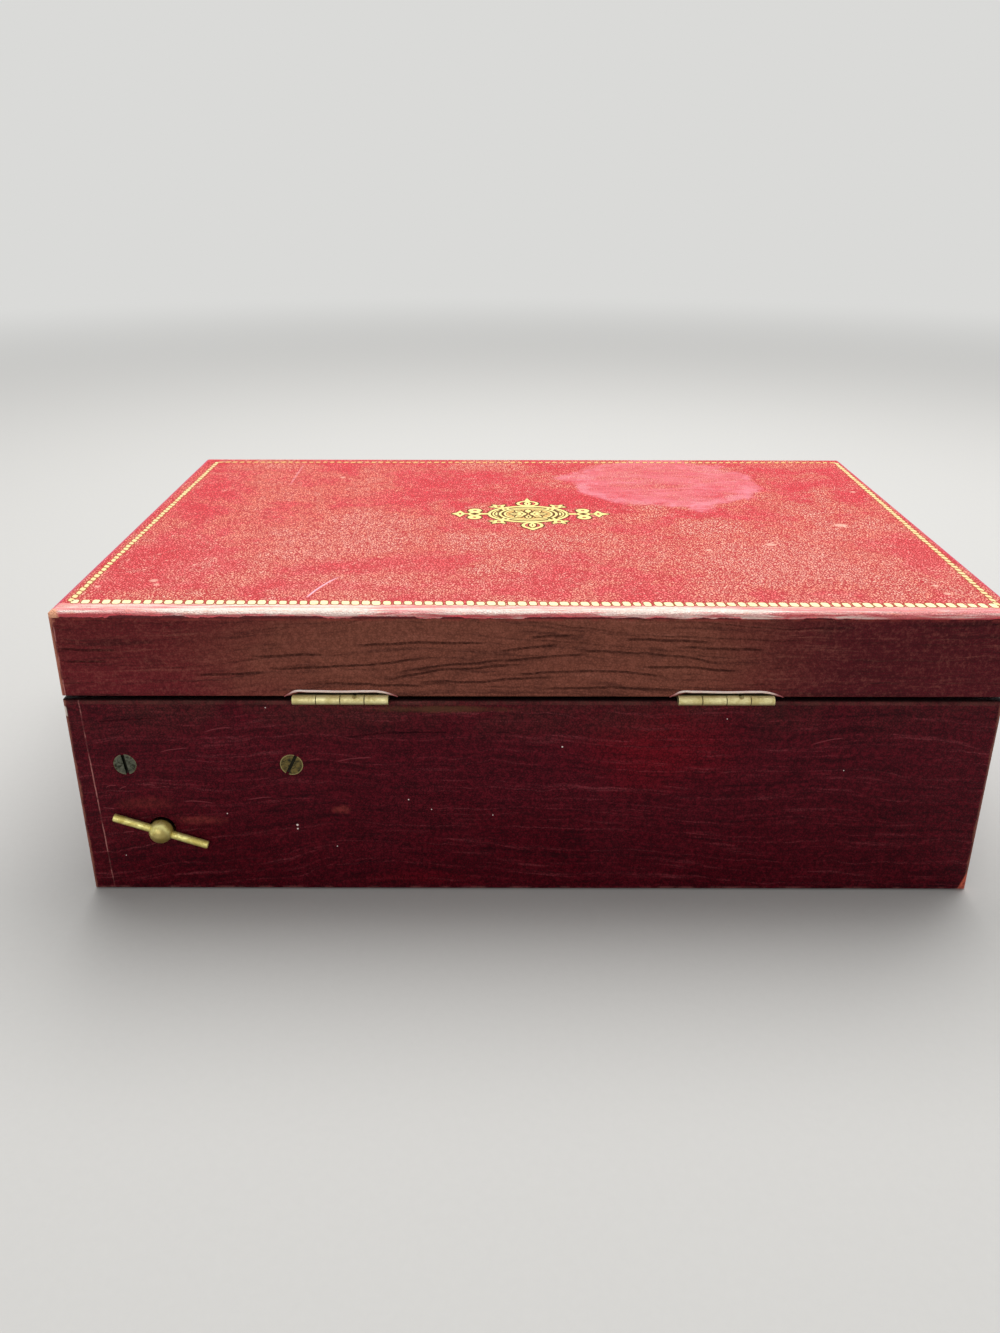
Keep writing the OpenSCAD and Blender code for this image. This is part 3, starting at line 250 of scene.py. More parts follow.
topLeather = {
    "red": (255, 96, 106),
    "deepRed": (250, 62, 78),
    "tan": (252, 158, 124),
    "paleTan": (255, 200, 178),
    "crease": (176, 14, 24),
    "smear": (224, 112, 122),
    "sheenTone": (255, 180, 165),
    "edgeGlare": (254, 238, 226),
    "edgePink": (236, 144, 146),
    "edgeOlive": (196, 152, 110),
    "edgeRed": (186, 52, 62),
    "sidePink": (206, 76, 112),
    "cornerTan": (240, 172, 136),
    "wallRed": (98, 26, 32),
    "scratch": (252, 196, 214),
    # Where the skin is rubbed to tan, or has kept its red: x, y, half width, half depth, strength
    "wear": [
        (57, 17, 42, 34, 0.13), (75, 43, 30, 12, 0.07), (1, 27, 48, 16, 0.12), (-75, 29, 50, 34, 0.13),
        (-95, -29, 12, 14, 0.1), (21, -79, 38, 10, 0.09), (80, -50, 40, 26, 0.05), (-60, 70, 60, 14, 0.06),
        (-88, 62, 54, 24, 0.14), (50, 6, 24, 15, 0.13), (-110, 64, 20, 13, 0.1), (70, 30, 30, 14, 0.06),
        (113, 50, 28, 40, -0.1), (1, -31, 55, 15, -0.14),
        (-31, -15, 13, 11, -0.14), (31, 51, 15, 11, -0.16),
        (-127, 43, 11, 28, -0.16), (124, -25, 18, 34, -0.1), (-11, 41, 14, 7, -0.08), (60, 72, 60, 8, -0.08),
        (60, -2, 24, 17, 0.2), (48, 27, 19, 23, 0.18), (24, 32, 13, 18, 0.1), (4, 31, 20, 14, 0.06),
        (10, 54, 18, 10, 0.17), (-66, 8, 19, 13, 0.22), (-57, 17, 11, 8, 0.1), (-126, 5, 15, 13, 0.14),
        (-42, -66, 12, 8, 0.12), (-106, -12, 17, 15, 0.16), (106, 80, 38, 9, 0.12), (-114, 78, 22, 8, 0.14),
        (-40, 52, 18, 13, 0.14), (-106, 42, 18, 13, 0.1), (83, 41, 10, 9, 0.12), (110, -79, 40, 8, 0.12),
        (-14, -22, 30, 12, -0.16), (-30, -31, 11, 8, -0.1), (27, -19, 10, 8, -0.2), (-57, -7, 9, 8, -0.12),
        (-128, -42, 13, 26, -0.2), (97, 53, 10, 9, -0.18), (111, 17, 13, 9, -0.1), (44, -48, 24, 18, -0.03),
    ],
    # Small pale rubs: x, y, radius
    "spots": [
        (116.5, 67.5, 2.0), (114.6, 71.2, 1.4), (132, 73, 1.6), (75, -61, 1.4), (12, 18.4, 1.1),
        (-82, 30, 2.0), (-112, 7, 2.4), (-123, 71, 1.2), (-124, 78, 1.4), (108, 52, 1.0),
        (118, 48, 0.9), (-60, 36, 1.2), (-130, -39, 1.6),
    ],
    "grain": 1.2,  # pebbles to the millimetre, as in the side leather
    # White glare on the near fold: middle, half length, share
    "glareRuns": [(68, 30, 0.3), (92, 24, 0.14), (-44, 30, 0.2), (4, 44, 0.1), (-120, 24, -0.06)],
    # Pink film at the far right: its two parts, what lies inside its rim, and a comma-shaped mark
    "film": [(-57, -54, 38, 42, 0.1, 0.9, 1.0), (-26, -60, 15, 8, 0.3, 1.0, 1.0)],
    "filmInside": [(-58, -58, 34, 38, 0.2, 0.9, 1.0)],
    "comma": [(-57, -47, 8, 4.5, 0.6, 1.4, -0.3)],
    "scratchTop": 82.0,  # y where the light scratch starts
    "scratchX": 67.0,
    "faintX": 95.0,
    "edgeY": 87.4,  # where the turned edge starts on the hinged side
    "foldZ": 95.2,
    "wallZ": 94.45,  # below this the skin is dark
}


# Broad wear, broken up by clouds and then pebble by pebble, with a painted sheen on the pebble tops towards
# the near edge
def wearAndSheenTop(skin, values, tones):
    wear = 0.0
    for cx, cy, rx, ry, strength in values["wear"]:
        wear = patch(skin.x, skin.y, (cx, cy), (rx, ry), 0.8, skin.frayed, 0.9) * strength + wear
    level = skin.mottle * 0.42 + skin.clouds * 0.75 + wear + skin.speckle * 0.16
    colour = mixed(level.fade(0.54, 0.66), tones["deepRed"], tones["red"])
    colour = mixed(level.fade(0.6, 0.74, 0.0, 0.9), colour, tones["tan"])
    colour = mixed(level.fade(0.7, 0.86) * skin.speckle.fade(0.36, 0.6), colour, tones["paleTan"])
    veins = abs(noise(skin.points, 0.05, 6.0, 0.66, 0.8) - 0.52).fade(0.024, 0.0)
    colour = mixed(veins * skin.frayed.fade(0.44, 0.58) * 0.75, colour, tones["paleTan"])
    sunk = skin.hollow.fade(0.2, 0.8) * (skin.speckle * 0.8 + 0.62)
    colour = mixed(sunk, colour, tones["crease"])
    tops = skin.grain.fade(0.75, 1.0) * skin.speckle.fade(0.48, 0.62)
    colour = mixed(tops * 0.68, colour, tones["paleTan"])
    # Painted sheen: pebble tops paler towards the near edge
    nearSheen = skin.y.fade(-30.0, 80.0) * skin.grain * skin.clouds.fade(0.36, 0.6, 0.45, 1.0)
    return mixed(nearSheen * 0.36, colour, tones["sheenTone"])


# The film is streaked and has a fainter rim
def addFilm(skin, colour, values, tones):
    x, y = skin.x, skin.y
    film = patches(x, y, values["film"], skin.clouds)
    inner = patches(x, y, values["filmInside"], skin.clouds)
    rimmed = film * (1.0 - inner) * skin.ragged.fade(0.42, 0.56)
    streak = drawnNoise(x * 0.05, y * 0.16, 0.0, 6.0, 0.7, 1.4)
    veil = (patches(x, y, values["comma"], skin.frayed) + streak).fade(0.32, 0.66, 0.2, 0.85)
    colour = mixed(film * veil, colour, tones["smear"])
    light = film * streak.fade(0.58, 0.72)
    return mixed(anyOf(rimmed * 0.16, light * 0.3), colour, tones["scratch"])


# A light scratch, a fainter one and a few rubbed spots
def addScratches(skin, colour, values, tones):
    x, y = skin.x, skin.y
    down = values["scratchTop"] - y
    line = (down * -0.01 - 0.2) * down + values["scratchX"]
    scratch = abs(x - line).fade(0.55, 0.15) * y.fade(62.0, 68.0) * y.fade(83.0, 80.0)
    faint = abs(x - values["faintX"]).fade(0.5, 0.1) * y.fade(-86.0, -76.0) * y.fade(-44.0, -56.0)
    rubs = [patch(x, y, (cx, cy), (size, size), 0.6, skin.ragged, 1.6) for cx, cy, size in values["spots"]]
    colour = mixed(anyOf(scratch, faint * 0.3) * 0.85, colour, tones["scratch"])
    return mixed(anyOf(*rubs) * 0.6, colour, tones["paleTan"])


# The turned edges: rubbed pale pink along the hinged side with a painted highlight of white glare on its
# fold, and purplish at the ends
def addTurnedEdges(skin, colour, values, tones):
    x, y, z = skin.x, skin.y, skin.z
    streaks = drawnNoise(x * 0.045, y * 0.9, z * 0.9, 5.0, 0.66, 0.4)
    skin.nearEdge = (y - (x * -0.0085 + streaks * 1.6 + values["edgeY"])).fade(0.0, 0.6)
    colour = mixed(skin.nearEdge * 0.9, colour, tones["edgePink"])
    outer = y.fade(90.2, 91.8)  # 1 on the fold itself
    glareLevel = streaks + 0.06
    for cx, half, strength in values["glareRuns"]:
        glare = abs(x - cx).fade(half, half * 0.3) * (outer * 0.6 + 0.4)
        glareLevel = glare * strength + glareLevel
    # Painted highlight: white glare along the near fold
    skin.nearPale = skin.nearEdge * glareLevel.fade(0.5, 0.74)
    colour = mixed(skin.nearPale * 0.95, colour, tones["edgeGlare"])
    threads = drawnNoise(x * 0.03, y * 1.5, 7.0, 4.0, 0.7, 0.5)
    oliveLines = skin.nearEdge * threads.fade(0.5, 0.62) * (outer * -0.75 + 1.0)
    colour = mixed(oliveLines * 0.6, colour, tones["edgeOlive"])
    dirt = skin.nearEdge * drawnNoise(x * 0.24, y, z, 5.0, 0.72).fade(0.54, 0.64)
    colour = mixed(dirt * 0.42, colour, tones["tan"])
    below = skin.nearEdge * (skin.mottle * 1.4 + z).fade(values["foldZ"] + 0.55, values["foldZ"])
    colour = mixed(below * streaks.fade(0.66, 0.42, 0.25, 1.0) * 0.85, colour, tones["edgeRed"])
    endEdge = abs(x).fade(137.6, 138.8) * streaks.fade(0.2, 0.6, 0.35, 0.8)
    return mixed(endEdge, colour, tones["sidePink"])


# Below the fold the skin is dark, with flakes of the bright face hanging over it
def addTopWall(skin, colour, values, tones):
    x, z = skin.x, skin.z
    flakes = drawnNoise(x * 0.3, z * 0.3, 0.0, 6.0, 0.74, 0.6)
    torn = noise(skin.points, 0.07, 2.0).fade(0.48, 0.62)
    wallLine = flakes * (torn * 1.2 + 0.8) * -1.0 + x * 0.0022 + values["wallZ"]
    above = wallLine - z
    hanging = skin.nearEdge * above.fade(-0.5, -0.15) * noise(skin.points, 0.16, 3.0).fade(0.42, 0.6)
    colour = mixed(hanging * 0.7, colour, tones["red"])
    colour = mixed(above.fade(-0.08, 0.1), colour, tones["wallRed"])
    worn = (skin.ragged * 4.0 + reachOf(x - halfWidth, skin.y - halfDepth)).fade(5.4, 4.2)
    return mixed(worn * z.fade(93.0, 94.0, 0.7, 1.0), colour, tones["cornerTan"])


def makeTopLeather(values):
    material, shader, points, (x, y, z) = startFinish("crimsonTopLeather", {
        "Specular IOR Level": 0.2,
        "Coat Weight": 0.06,
        "Coat Roughness": 0.3,
    })
    tones = tonesOf(values)
    skin = SimpleNamespace(
        x=x, y=y, z=z, points=points,
        ragged=noise(points, 0.12, 5.0, 0.6),
        frayed=noise(points, 0.06, 5.0, 0.65, 0.6),
        clouds=noise(points, 0.035, 7.0, 0.64, 0.6),
        mottle=noise(points, 0.13, 6.0, 0.68),
        speckle=noise(points, 0.8, 3.0, 0.7),
        grain=pebbles(points, values["grain"]),
    )
    skin.hollow = 1.0 - skin.grain
    colour = wearAndSheenTop(skin, values, tones)
    colour = addFilm(skin, colour, values, tones)
    colour = addScratches(skin, colour, values, tones)
    colour = addTurnedEdges(skin, colour, values, tones)
    colour = addTopWall(skin, colour, values, tones)
    plug(shader, "Base Color", colour)
    plug(shader, "Roughness", skin.hollow * 0.12 + skin.nearPale.fade(0.0, 1.0, 0.48, 0.3))
    waves = relief(noise(points, 0.03, 3.0), 0.0006, strength=0.6)
    plug(shader, "Normal", relief(skin.speckle * 0.3 + skin.grain, 0.00018, waves))
    return material


# Creases and nicks are given by their two ends and the rise between them, and patches as for patches()
sideLeather = {
    "lid": {
        "red": (110, 34, 38),
        "brown": (140, 82, 64),
        "low": (120, 34, 42),
        "crease": (38, 14, 14),
        "lift": (188, 118, 100),
        "speck": (176, 108, 92),
        "dim": (84, 18, 30),
        "dimSpan": [-48.0, -92.0],
        "dimShare": 0.75,
        "seamX": 138.4,
        "seamLean": 0.0,
        "bottom": 68.5,
        "top": 93.5,
        "creaseDepth": 0.0005,
        "creaseWidth": 0.5,
        "grain": 1.15,
        "spacing": [4.6, 7.3],
        "rippleDark": 0.5,
        "rippleLight": 0.1,
        "grainDark": 0.42,
        "fineShare": 0.2,
        "creaseShare": 0.58,
        "fibreDark": 0.5,
        "fibreLight": 0.26,
        "uprightShare": 0.6,
        "browned": [(6, 80, 112, 40, 0.6, 0.5, 1.0)],
        "creases": [
            (55, 85.2, 11, 86.0, 0.3), (83, 81.2, 60, 82.3, 0.1), (80, 77.7, 27, 81.6, -0.8),
            (45, 73.8, 2, 79.2, 1.0), (36, 73.3, -8, 75.6, -0.6), (11, 80.3, -17, 82.5, 0.2),
            (2, 87.8, -12, 88.7, 0.0), (-10, 83.4, -57, 79.5, 1.0), (8, 75.3, -41, 74.6, 2.2),
            (-41, 84.7, -68, 83.4, 0.3), (11, 83.4, -8, 85.6, 0.2), (139, 83.4, 120, 83.4, 0.2),
            (0, 71.5, -46, 70.9, 0.5), (-24, 87.0, -52, 86.2, 0.4), (-30, 78.0, -62, 77.0, 0.6),
            (100, 75.5, 78, 76.2, 0.2), (40, 76.6, 5, 81.0, 0.3), (137, 79.4, 124, 79.9, 0.1),
            (66, 72.6, 30, 72.0, 0.4),
        ],
    },
    "base": {
        "red": (90, 14, 28),
        "brown": (88, 40, 38),
        "low": (80, 0, 16),
        "crease": (24, 0, 6),
        "lift": (166, 76, 84),
        "speck": (140, 30, 46),
        "dim": (80, 14, 26),
        "dimSpan": [-60.0, -110.0],
        "dimShare": 0.3,
        "seamX": 134.9,
        "seamLean": -0.024,
        "bottom": 1.0,
        "top": 67.5,
        "creaseDepth": 0.00022,
        "creaseWidth": 0.45,
        "grain": 1.15,
        "spacing": [5.6, 8.3],
        "rippleDark": 0.35,
        "rippleLight": 0.34,
        "grainDark": 0.66,
        "fineShare": 0.3,
        "creaseShare": 0.6,
        "fibreDark": 0.54,
        "fibreLight": 0.44,
        "uprightShare": 0.3,
        "glows": [(-36, 52, 34, 20, 0.95, 0.8, 1.0), (38, 5, 30, 4, 0.95, 0.8, 0.5)],
        "chipAtEnd": [(93.4, 63.5, 1.4, 2.0, 0.3, 0.8, 1.0)],
        "chipBehind": [(139.6, 63.8, 0.9, 1.5, 0.4, 0.8, 1.0)],
        "rimBand": [(28, 64.6, 26, 1.6, 0.8, 1.2, 0.6)],
        "rubs": [
            (103, 26, 10, 2.2, 0.9, 2.2, 1.0), (119, 32, 12, 3, 0.8, 1.6, 0.5),
            (58.5, 30, 4.5, 1.9, 0.7, 2.4, 1.0),
        ],
        "creases": [(60, 55.0, 22, 56.5, 0.9), (132, 60.5, 112, 61.0, 0.2)],
        "nicks": [
            (131.0, 37.6, 127.5, 38.4, 0.4), (127.0, 37.0, 124.5, 38.2, 0.3), (119.5, 38.2, 115.5, 38.0, 0.3),
            (133.0, 30.5, 129.0, 30.0, 0.2), (128, 21.5, 124, 21.9, 0.2), (113.0, 49.6, 104.0, 51.2, 0.5),
            (99.0, 56.6, 90.0, 58.4, 0.4), (88.0, 33.4, 80.0, 34.2, 0.2), (108.0, 33.0, 98.0, 32.2, 0.3),
            (60.0, 47.0, 48.0, 48.6, 0.5), (-84.0, 53.0, -94.0, 55.0, 0.4),
        ],
        "specks": [  # pale, at x and z, with a radius
            (73, 24.3, 0.4), (73, 22.9, 0.3), (38, 33.5, 0.3), (94.5, 28.4, 0.24), (61, 16.5, 0.24),
            (-58, 61.5, 0.2), (79.6, 65.0, 0.24), (31, 30, 0.24), (12, 28, 0.22), (-9, 52, 0.28),
            (-95, 44, 0.24), (128, 13, 0.2),
        ],
    },
}
wearTones = {
    "fleck": (255, 236, 228),
    "tan": (212, 136, 108),
    "board": (230, 214, 202),
    "seam": (200, 130, 124),
    "glow": (130, 10, 26),
    # painted shade by the gap between lid and base
    "dark": (18, 6, 8),
    "olive": (98, 66, 44),
    "rubbed": (150, 62, 56),
    "rimBrown": (120, 76, 66),
    "heel": (200, 92, 70),
}


# Red skin, darker below, browned and dimmed as it is in the photograph
def sideGround(skin, values, tones, isLid):
    x, z, clouds, hinged = skin.x, skin.z, skin.clouds, skin.hinged
    # From low at the bottom to red at the top; on the base the darker bottom is painted shade
    shade = clouds * 0.8 + z.fade(values["bottom"], values["top"]) * 0.6
    colour = mixed(shade.fade(0.3, 0.9), tones["low"], tones["red"])
    if isLid:
        browned = patches(x, z, values["browned"], clouds)
    else:
        browned = z.fade(50.0, 68.0) * clouds.fade(0.35, 0.6)
        glow = patches(x, z, values["glows"], clouds) * hinged
        colour = mixed(glow * 0.7, colour, tones["glow"])
    colour = mixed(browned * (hinged * 0.5 + 0.35), colour, tones["brown"])
    dim = x.fade(*values["dimSpan"]) * hinged * values["dimShare"]
    colour = mixed(dim, colour, tones["dim"])
    smoky = noise(skin.points, 0.09, 4.0, 0.62).fade(0.56, 0.7)
    return mixed(smoky * 0.25, colour, tones["crease"])


# Wrinkles of dry leather along the wall, arched over the middle; some dark, some with a pale lip
def addWrinkles(skin, colour, values, tones):
    x, z, along, side, hinged = skin.x, skin.z, skin.along, skin.side, skin.hinged
    wiggle = noise(skin.points, 0.07, 4.0, 0.55) - 0.5
    swell = drawnNoise(along * 0.012, z * 0.02, side, 1.0)
    arch = abs(along - 30.0).fade(0.0, 110.0, 0.0, 7.0)
    level = swell * 16.0 + z + arch * hinged + wiggle * 2.6
    present = drawnNoise(along * 0.022, z * 0.11, side, 3.0, 0.6).fade(0.42, 0.62)
    first, second = values["spacing"]
    lines = ripples(level, first, 0.32) * present
    others = ripples(wiggle * 2.2 + level, second, 0.34)
    paleLines = anyOf(others, lines * 0.6) * ((1.0 - present) * 0.75 + 0.25)
    skin.wander = wiggle * 2.2 + z
    drawn = [crease(x, skin.wander, ends, values["creaseWidth"]) * hinged for ends in values["creases"]]
    skin.creases = anyOf(lines * values["rippleDark"], *drawn)
    fibres = drawnNoise(along * 0.034, level * 0.62, side, 7.0, 0.74)
    strength = hinged * 0.65 + 0.35  # fainter away from the hinges
    colour = mixed(fibres.fade(0.5, 0.36) * values["fibreDark"] * strength, colour, tones["crease"])
    colour = mixed(fibres.fade(0.54, 0.7) * values["fibreLight"] * strength, colour, tones["lift"])
    broken = noise(skin.points, 0.2, 4.0, 0.7).fade(0.38, 0.62, 0.15, 1.0)
    colour = mixed(skin.creases * values["creaseShare"], colour, tones["crease"])
    colour = mixed(paleLines * broken * values["rippleLight"], colour, tones["lift"])
    colour = mixed(skin.fine.fade(0.45, 0.75) * values["fineShare"], colour, tones["speck"])
    sunk = (1.0 - skin.grain) * skin.fine.fade(0.62, 0.4, 0.35, 1.0)
    return mixed(sunk * values["grainDark"], colour, tones["crease"])


# The skin's join near the winding end
def addSeam(skin, colour, values, tones):
    seamLine = (values["top"] - skin.z) * values["seamLean"] + values["seamX"]
    fromSeam = skin.ragged * 0.5 + skin.x - (seamLine + 0.25)
    seam = skin.hinged * abs(fromSeam).fade(0.26, 0.08)
    skin.overlap = skin.hinged * fromSeam.fade(-0.1, 0.1)
    return mixed(seam * noise(skin.points, 0.25, 4.0).fade(0.4, 0.6, 0.12, 0.8), colour, tones["seam"])


def addLidWearAndGapShade(skin, colour, tones):
    x, z, ragged = skin.x, skin.z, skin.ragged
    heel = z.fade(91.4, 93.2) * skin.fromCorner.fade(5.0, 2.0) * x.fade(0.0, 1.0)
    colour = mixed(heel * ragged.fade(0.4, 0.5), colour, tones["tan"])
    rubLine = z.fade(92.4, 93.2) * ragged.fade(0.42, 0.56) * skin.hinged
    colour = mixed(rubLine * 0.5, colour, tones["rubbed"])
    return mixed(z.fade(68.8, 68.5) * 0.92, colour, tones["dark"])  # painted shade on the lid's edge by the gap


def addBaseWearAndGapShade(skin, colour, values, tones):
    x, y, z, ragged, hinged, fine = skin.x, skin.y, skin.z, skin.ragged, skin.hinged, skin.fine
    heel = z.fade(8.0, 5.0) * (z * 0.35 + skin.fromCorner).fade(3.6, 3.0) * ragged.fade(0.36, 0.46)
    heel = heel * x.fade(0.0, -1.0) * fine.fade(0.3, 0.55, 0.35, 1.0)
    colour = mixed(heel, colour, tones["heel"])
    atEnd = patches(y, z, values["chipAtEnd"], ragged) * x.fade(halfWidth - 1.4, halfWidth - 0.8)
    behind = patches(x, z, values["chipBehind"], ragged) * hinged
    colour = mixed(anyOf(atEnd, behind), colour, tones["board"])
    colour = mixed(patches(x, z, values["rimBand"], ragged) * hinged, colour, tones["olive"])
    rub = patches(x, z, values["rubs"], ragged) * hinged * fine.fade(0.3, 0.6, 0.35, 1.0)
    colour = mixed(rub * 0.5, colour, tones["rubbed"])
    for ends in values["nicks"]:
        colour = mixed(crease(x, skin.wander, ends, 0.3) * hinged * 0.42, colour, tones["lift"])
    for cx, cz, size in values["specks"]:
        fleck = patch(x, z, (cx, cz), (size, size), 0.5, ragged, 1.0)
        colour = mixed(fleck * hinged * 0.95, colour, tones["fleck"])
    return mixed(z.fade(66.95, 67.4) * 0.92, colour, tones["dark"])  # painted shade on the base's rim by the gap


def makeSideLeather(name, values):
    material, shader, points, (x, y, z) = startFinish(name, {
        "Specular IOR Level": 0.07,
        "Coat Weight": 0.01,
        "Coat Roughness": 0.35,
    })
    isLid = "lid" in name
    tones = tonesOf({**values, **wearTones})
    onEnds = abs(x).fade(halfWidth - 1.4, halfWidth - 0.4)
    skin = SimpleNamespace(
        x=x, y=y, z=z, points=points,
        along=x * (1.0 - onEnds) + y * onEnds,
        side=x.math("SIGN") * onEnds + y.math("SIGN") * 0.37,
        hinged=y.fade(halfDepth - 2.0, halfDepth - 1.0),
        ragged=noise(points, 0.15, 5.0, 0.6),
        clouds=noise(points, 0.03, 5.0, 0.6, 0.5),
        fine=noise(points, 0.9, 3.0, 0.7),
        grain=pebbles(points, values["grain"]),
        fromCorner=reachOf(abs(x) - halfWidth, abs(y) - halfDepth),
    )
    colour = sideGround(skin, values, tones, isLid)
    colour = addWrinkles(skin, colour, values, tones)
    colour = addSeam(skin, colour, values, tones)
    # Edges and corners rubbed through
    if not isLid:
        bottomEdge = z.fade(values["bottom"] + 0.7, values["bottom"] + 0.1) * skin.ragged.fade(0.46, 0.62)
        colour = mixed(bottomEdge * 0.22, colour, tones["seam"])
        rimLine = skin.hinged * z.fade(65.8, 66.3) * skin.ragged.fade(0.36, 0.6, 0.2, 1.0)
        colour = mixed(rimLine * 0.3, colour, tones["rimBrown"])
    upright = (skin.ragged * 2.2 + skin.fromCorner).fade(2.7, 1.9)
    colour = mixed(upright * x.fade(0.0, 1.0, 0.26, values["uprightShare"]), colour, tones["tan"])
    colour = addLidWearAndGapShade(skin, colour, tones) if isLid else addBaseWearAndGapShade(skin, colour, values, tones)
    plug(shader, "Base Color", colour)
    plug(shader, "Roughness", skin.creases.fade(0.0, 1.0, 0.5, 0.75))
    normal = relief(1.0 - skin.creases, values["creaseDepth"])
    normal = relief(skin.overlap, 0.00012, normal)
    plug(shader, "Normal", relief(skin.fine * 0.5 + skin.grain, 0.00009, normal))
    return material


hingeX = 57.0  # millimetres from the box's middle to each hinge's middle
plainFinishes = {
    "velvet": {
        "name": "creamVelvet",
        "first": (232, 219, 190),
        "second": (205, 188, 154),
        "scale": 1.3,
        "depth": 0.00012,
        "sheen": 0.5,
    },
    "felt": {
        "name": "brownFelt",
        "first": (66, 48, 42),
        "second": (44, 31, 28),
        "scale": 1.6,
        "depth": 0.0002,
        "sheen": 0.2,
    },
    "lip": {
        "name": "rubbedLipAndHighlight",
        # near white: pale rubbed leather, lightened further as a painted highlight
        "first": (255, 246, 240),
        "second": (255, 216, 206),
        "endRed": (168, 66, 70),  # its ends run back into the red skin
        "scale": 0.5,
        "depth": 0.00008,
        "sheen": 0.0,
    },
}


def makePile(values):
    material, shader, points, (x, y, z) = startFinish(values["name"], {
        "Roughness": 0.9,
        "Specular IOR Level": 0.15,
        "Sheen Weight": values["sheen"],
        "Sheen Roughness": 0.4,
    })
    tones = tonesOf(values)
    strands = noise(points, values["scale"], 5.0, 0.75)
    brushed = noise(points, 0.05, 4.0, 0.6, 0.8)
    colour = mixed(strands.fade(0.3, 0.7) * 0.55 + brushed * 0.45, tones["second"], tones["first"])
    if "endRed" in tones:
        fromHinge = abs(abs(x) - hingeX)
        colour = mixed(fromHinge.fade(12.5, 16.2, 0.0, 0.9), colour, tones["endRed"])
    plug(shader, "Base Color", colour)
    plug(shader, "Normal", relief(strands, values["depth"]))
    return material


metalFinishes = {
    "brass": {
        "bright": (222, 188, 112),
        "dull": (176, 138, 70),
        "rough": [0.24, 0.4],
        "brush": [0.05, 2.4, 0.05],
    },
    "hingeBrass": {
        "bright": (246, 236, 178),
        "dull": (208, 192, 130),
        # the next two tones are painted shade: in the lid's notch and on the hinge's lower half
        "dirt": (26, 14, 12),
        "under": (126, 106, 60),
        "rough": [0.4, 0.6],
        "brush": [0.4, 0.9, 0.9],
        "metallic": 0.6,
    },
    "hingeShade": {
        "bright": (74, 60, 40),
        "dull": (40, 30, 22),
        "rough": [0.6, 0.8],
        "brush": [0.4, 0.9, 0.9],
    },
    "agedBrass": {
        "bright": (254, 246, 164),
        "dull": (204, 186, 96),
        "brown": (142, 114, 40),
        # the next two tones are painted shade: on the bar's lower side and in the key's hole
        "under": (124, 98, 46),
        "dirt": (30, 16, 10),
        "rough": [0.3, 0.5],
        "brush": [0.5, 0.5, 0.5],
        "metallic": 0.6,
    },
    "steel": {
        "bright": (206, 208, 210),
        "dull": (150, 152, 156),
        "rough": [0.2, 0.38],
        "brush": [0.06, 2.0, 0.06],
    },
    "bluedSteel": {
        "bright": (74, 92, 136),
        "dull": (48, 54, 78),
        "rough": [0.22, 0.36],
        "brush": [0.3, 1.2, 0.3],
    },
    "gilt": {
        "bright": (244, 212, 138),
        "dull": (226, 186, 106),
        "rough": [0.3, 0.5],
        "brush": [0.7, 0.7, 0.7],
    },
}


def makeMetal(name, values):
    material, shader, points, (x, y, z) = startFinish(name, {"Metallic": values.get("metallic", 1.0)})
    tones = tonesOf(values)
    tarnish = noise(points, 0.28, 5.0, 0.65, 0.6)
    lines = noise(vectorMath("MULTIPLY", points, values["brush"]), 3.0, 3.0, 0.6)
    share = (lines * 0.3 + tarnish).fade(0.45, 0.82)
    colour = mixed(share, tones["bright"], tones["dull"])
    if name == "hingeBrass":  # painted shade where the leaf shows in the lid's notch, and on the hinge's lower half
        inNotch = y.fade(93.75, 93.45) * y.fade(91.0, 92.0)
        colour = mixed(inNotch * 0.9, colour, tones["dirt"])
        under = z.fade(68.2, 66.8) * y.fade(93.0, 94.0)
        colour = mixed(under * 0.6, colour, tones["under"])
    if name == "agedBrass":  # brown patches on the ball, painted shade on the bar's lower side, and painted shade where the key goes into its hole
        patchy = patch(x, z, (114.9, 22.4), (3.2, 3.1), 0.5, tarnish, 1.6)
        colour = mixed(patchy * 0.7, colour, tones["brown"])
        above = x * -0.334 + z * 0.943 + 16.77
        colour = mixed(above.fade(0.1, -1.0) * 0.6, colour, tones["under"])
        colour = mixed(y.fade(95.4, 94.4), colour, tones["dirt"])
    plug(shader, "Base Color", colour)
    plug(shader, "Roughness", share.fade(0.0, 1.0, *values["rough"]))
    plug(shader, "Normal", relief(lines, 0.00002, strength=0.5))
    return material


screwFinish = {
    "green": (98, 100, 86),
    "olive": (118, 102, 58),
    # dark is the tarnish, and also painted shade in the slot
    "dark": (44, 44, 34),
    "rim": (178, 164, 110),
    "innerX": 73.3,
    "spacing": 50.7,
    "height": 45.6,
}


def makeScrewBrass(values):
    material, shader, points, (x, y, z) = startFinish("mountingScrewBrass", {"Metallic": 0.85})
    tones = tonesOf(values)
    tarnish = noise(points, 0.7, 5.0, 0.7, 0.5)
    outer = x.fade(95.0, 105.0)  # 1 on the screw nearer the end
    colour = mixed(outer, tones["olive"], tones["green"])
    colour = mixed(tarnish.fade(0.42, 0.66), colour, tones["dark"])
    middle = outer * values["spacing"] + values["innerX"]
    rim = reachOf(x - middle, z - values["height"]).fade(3.1, 3.35)
    colour = mixed(rim * (outer * -0.6 + 0.75), colour, tones["rim"])
    colour = mixed(y.fade(93.6, 93.3), colour, tones["dark"])  # painted shade in the slot
    plug(shader, "Base Color", colour)
    plug(shader, "Roughness", tarnish.fade(0.3, 0.7, 0.4, 0.7))
    plug(shader, "Normal", relief(tarnish, 0.00005))
    return material


woodFinish = {
    "light": (206, 168, 118),
    "dark": (158, 112, 70),
    "nearLeatherDark": (36, 18, 14),
    "scale": 0.3,
}


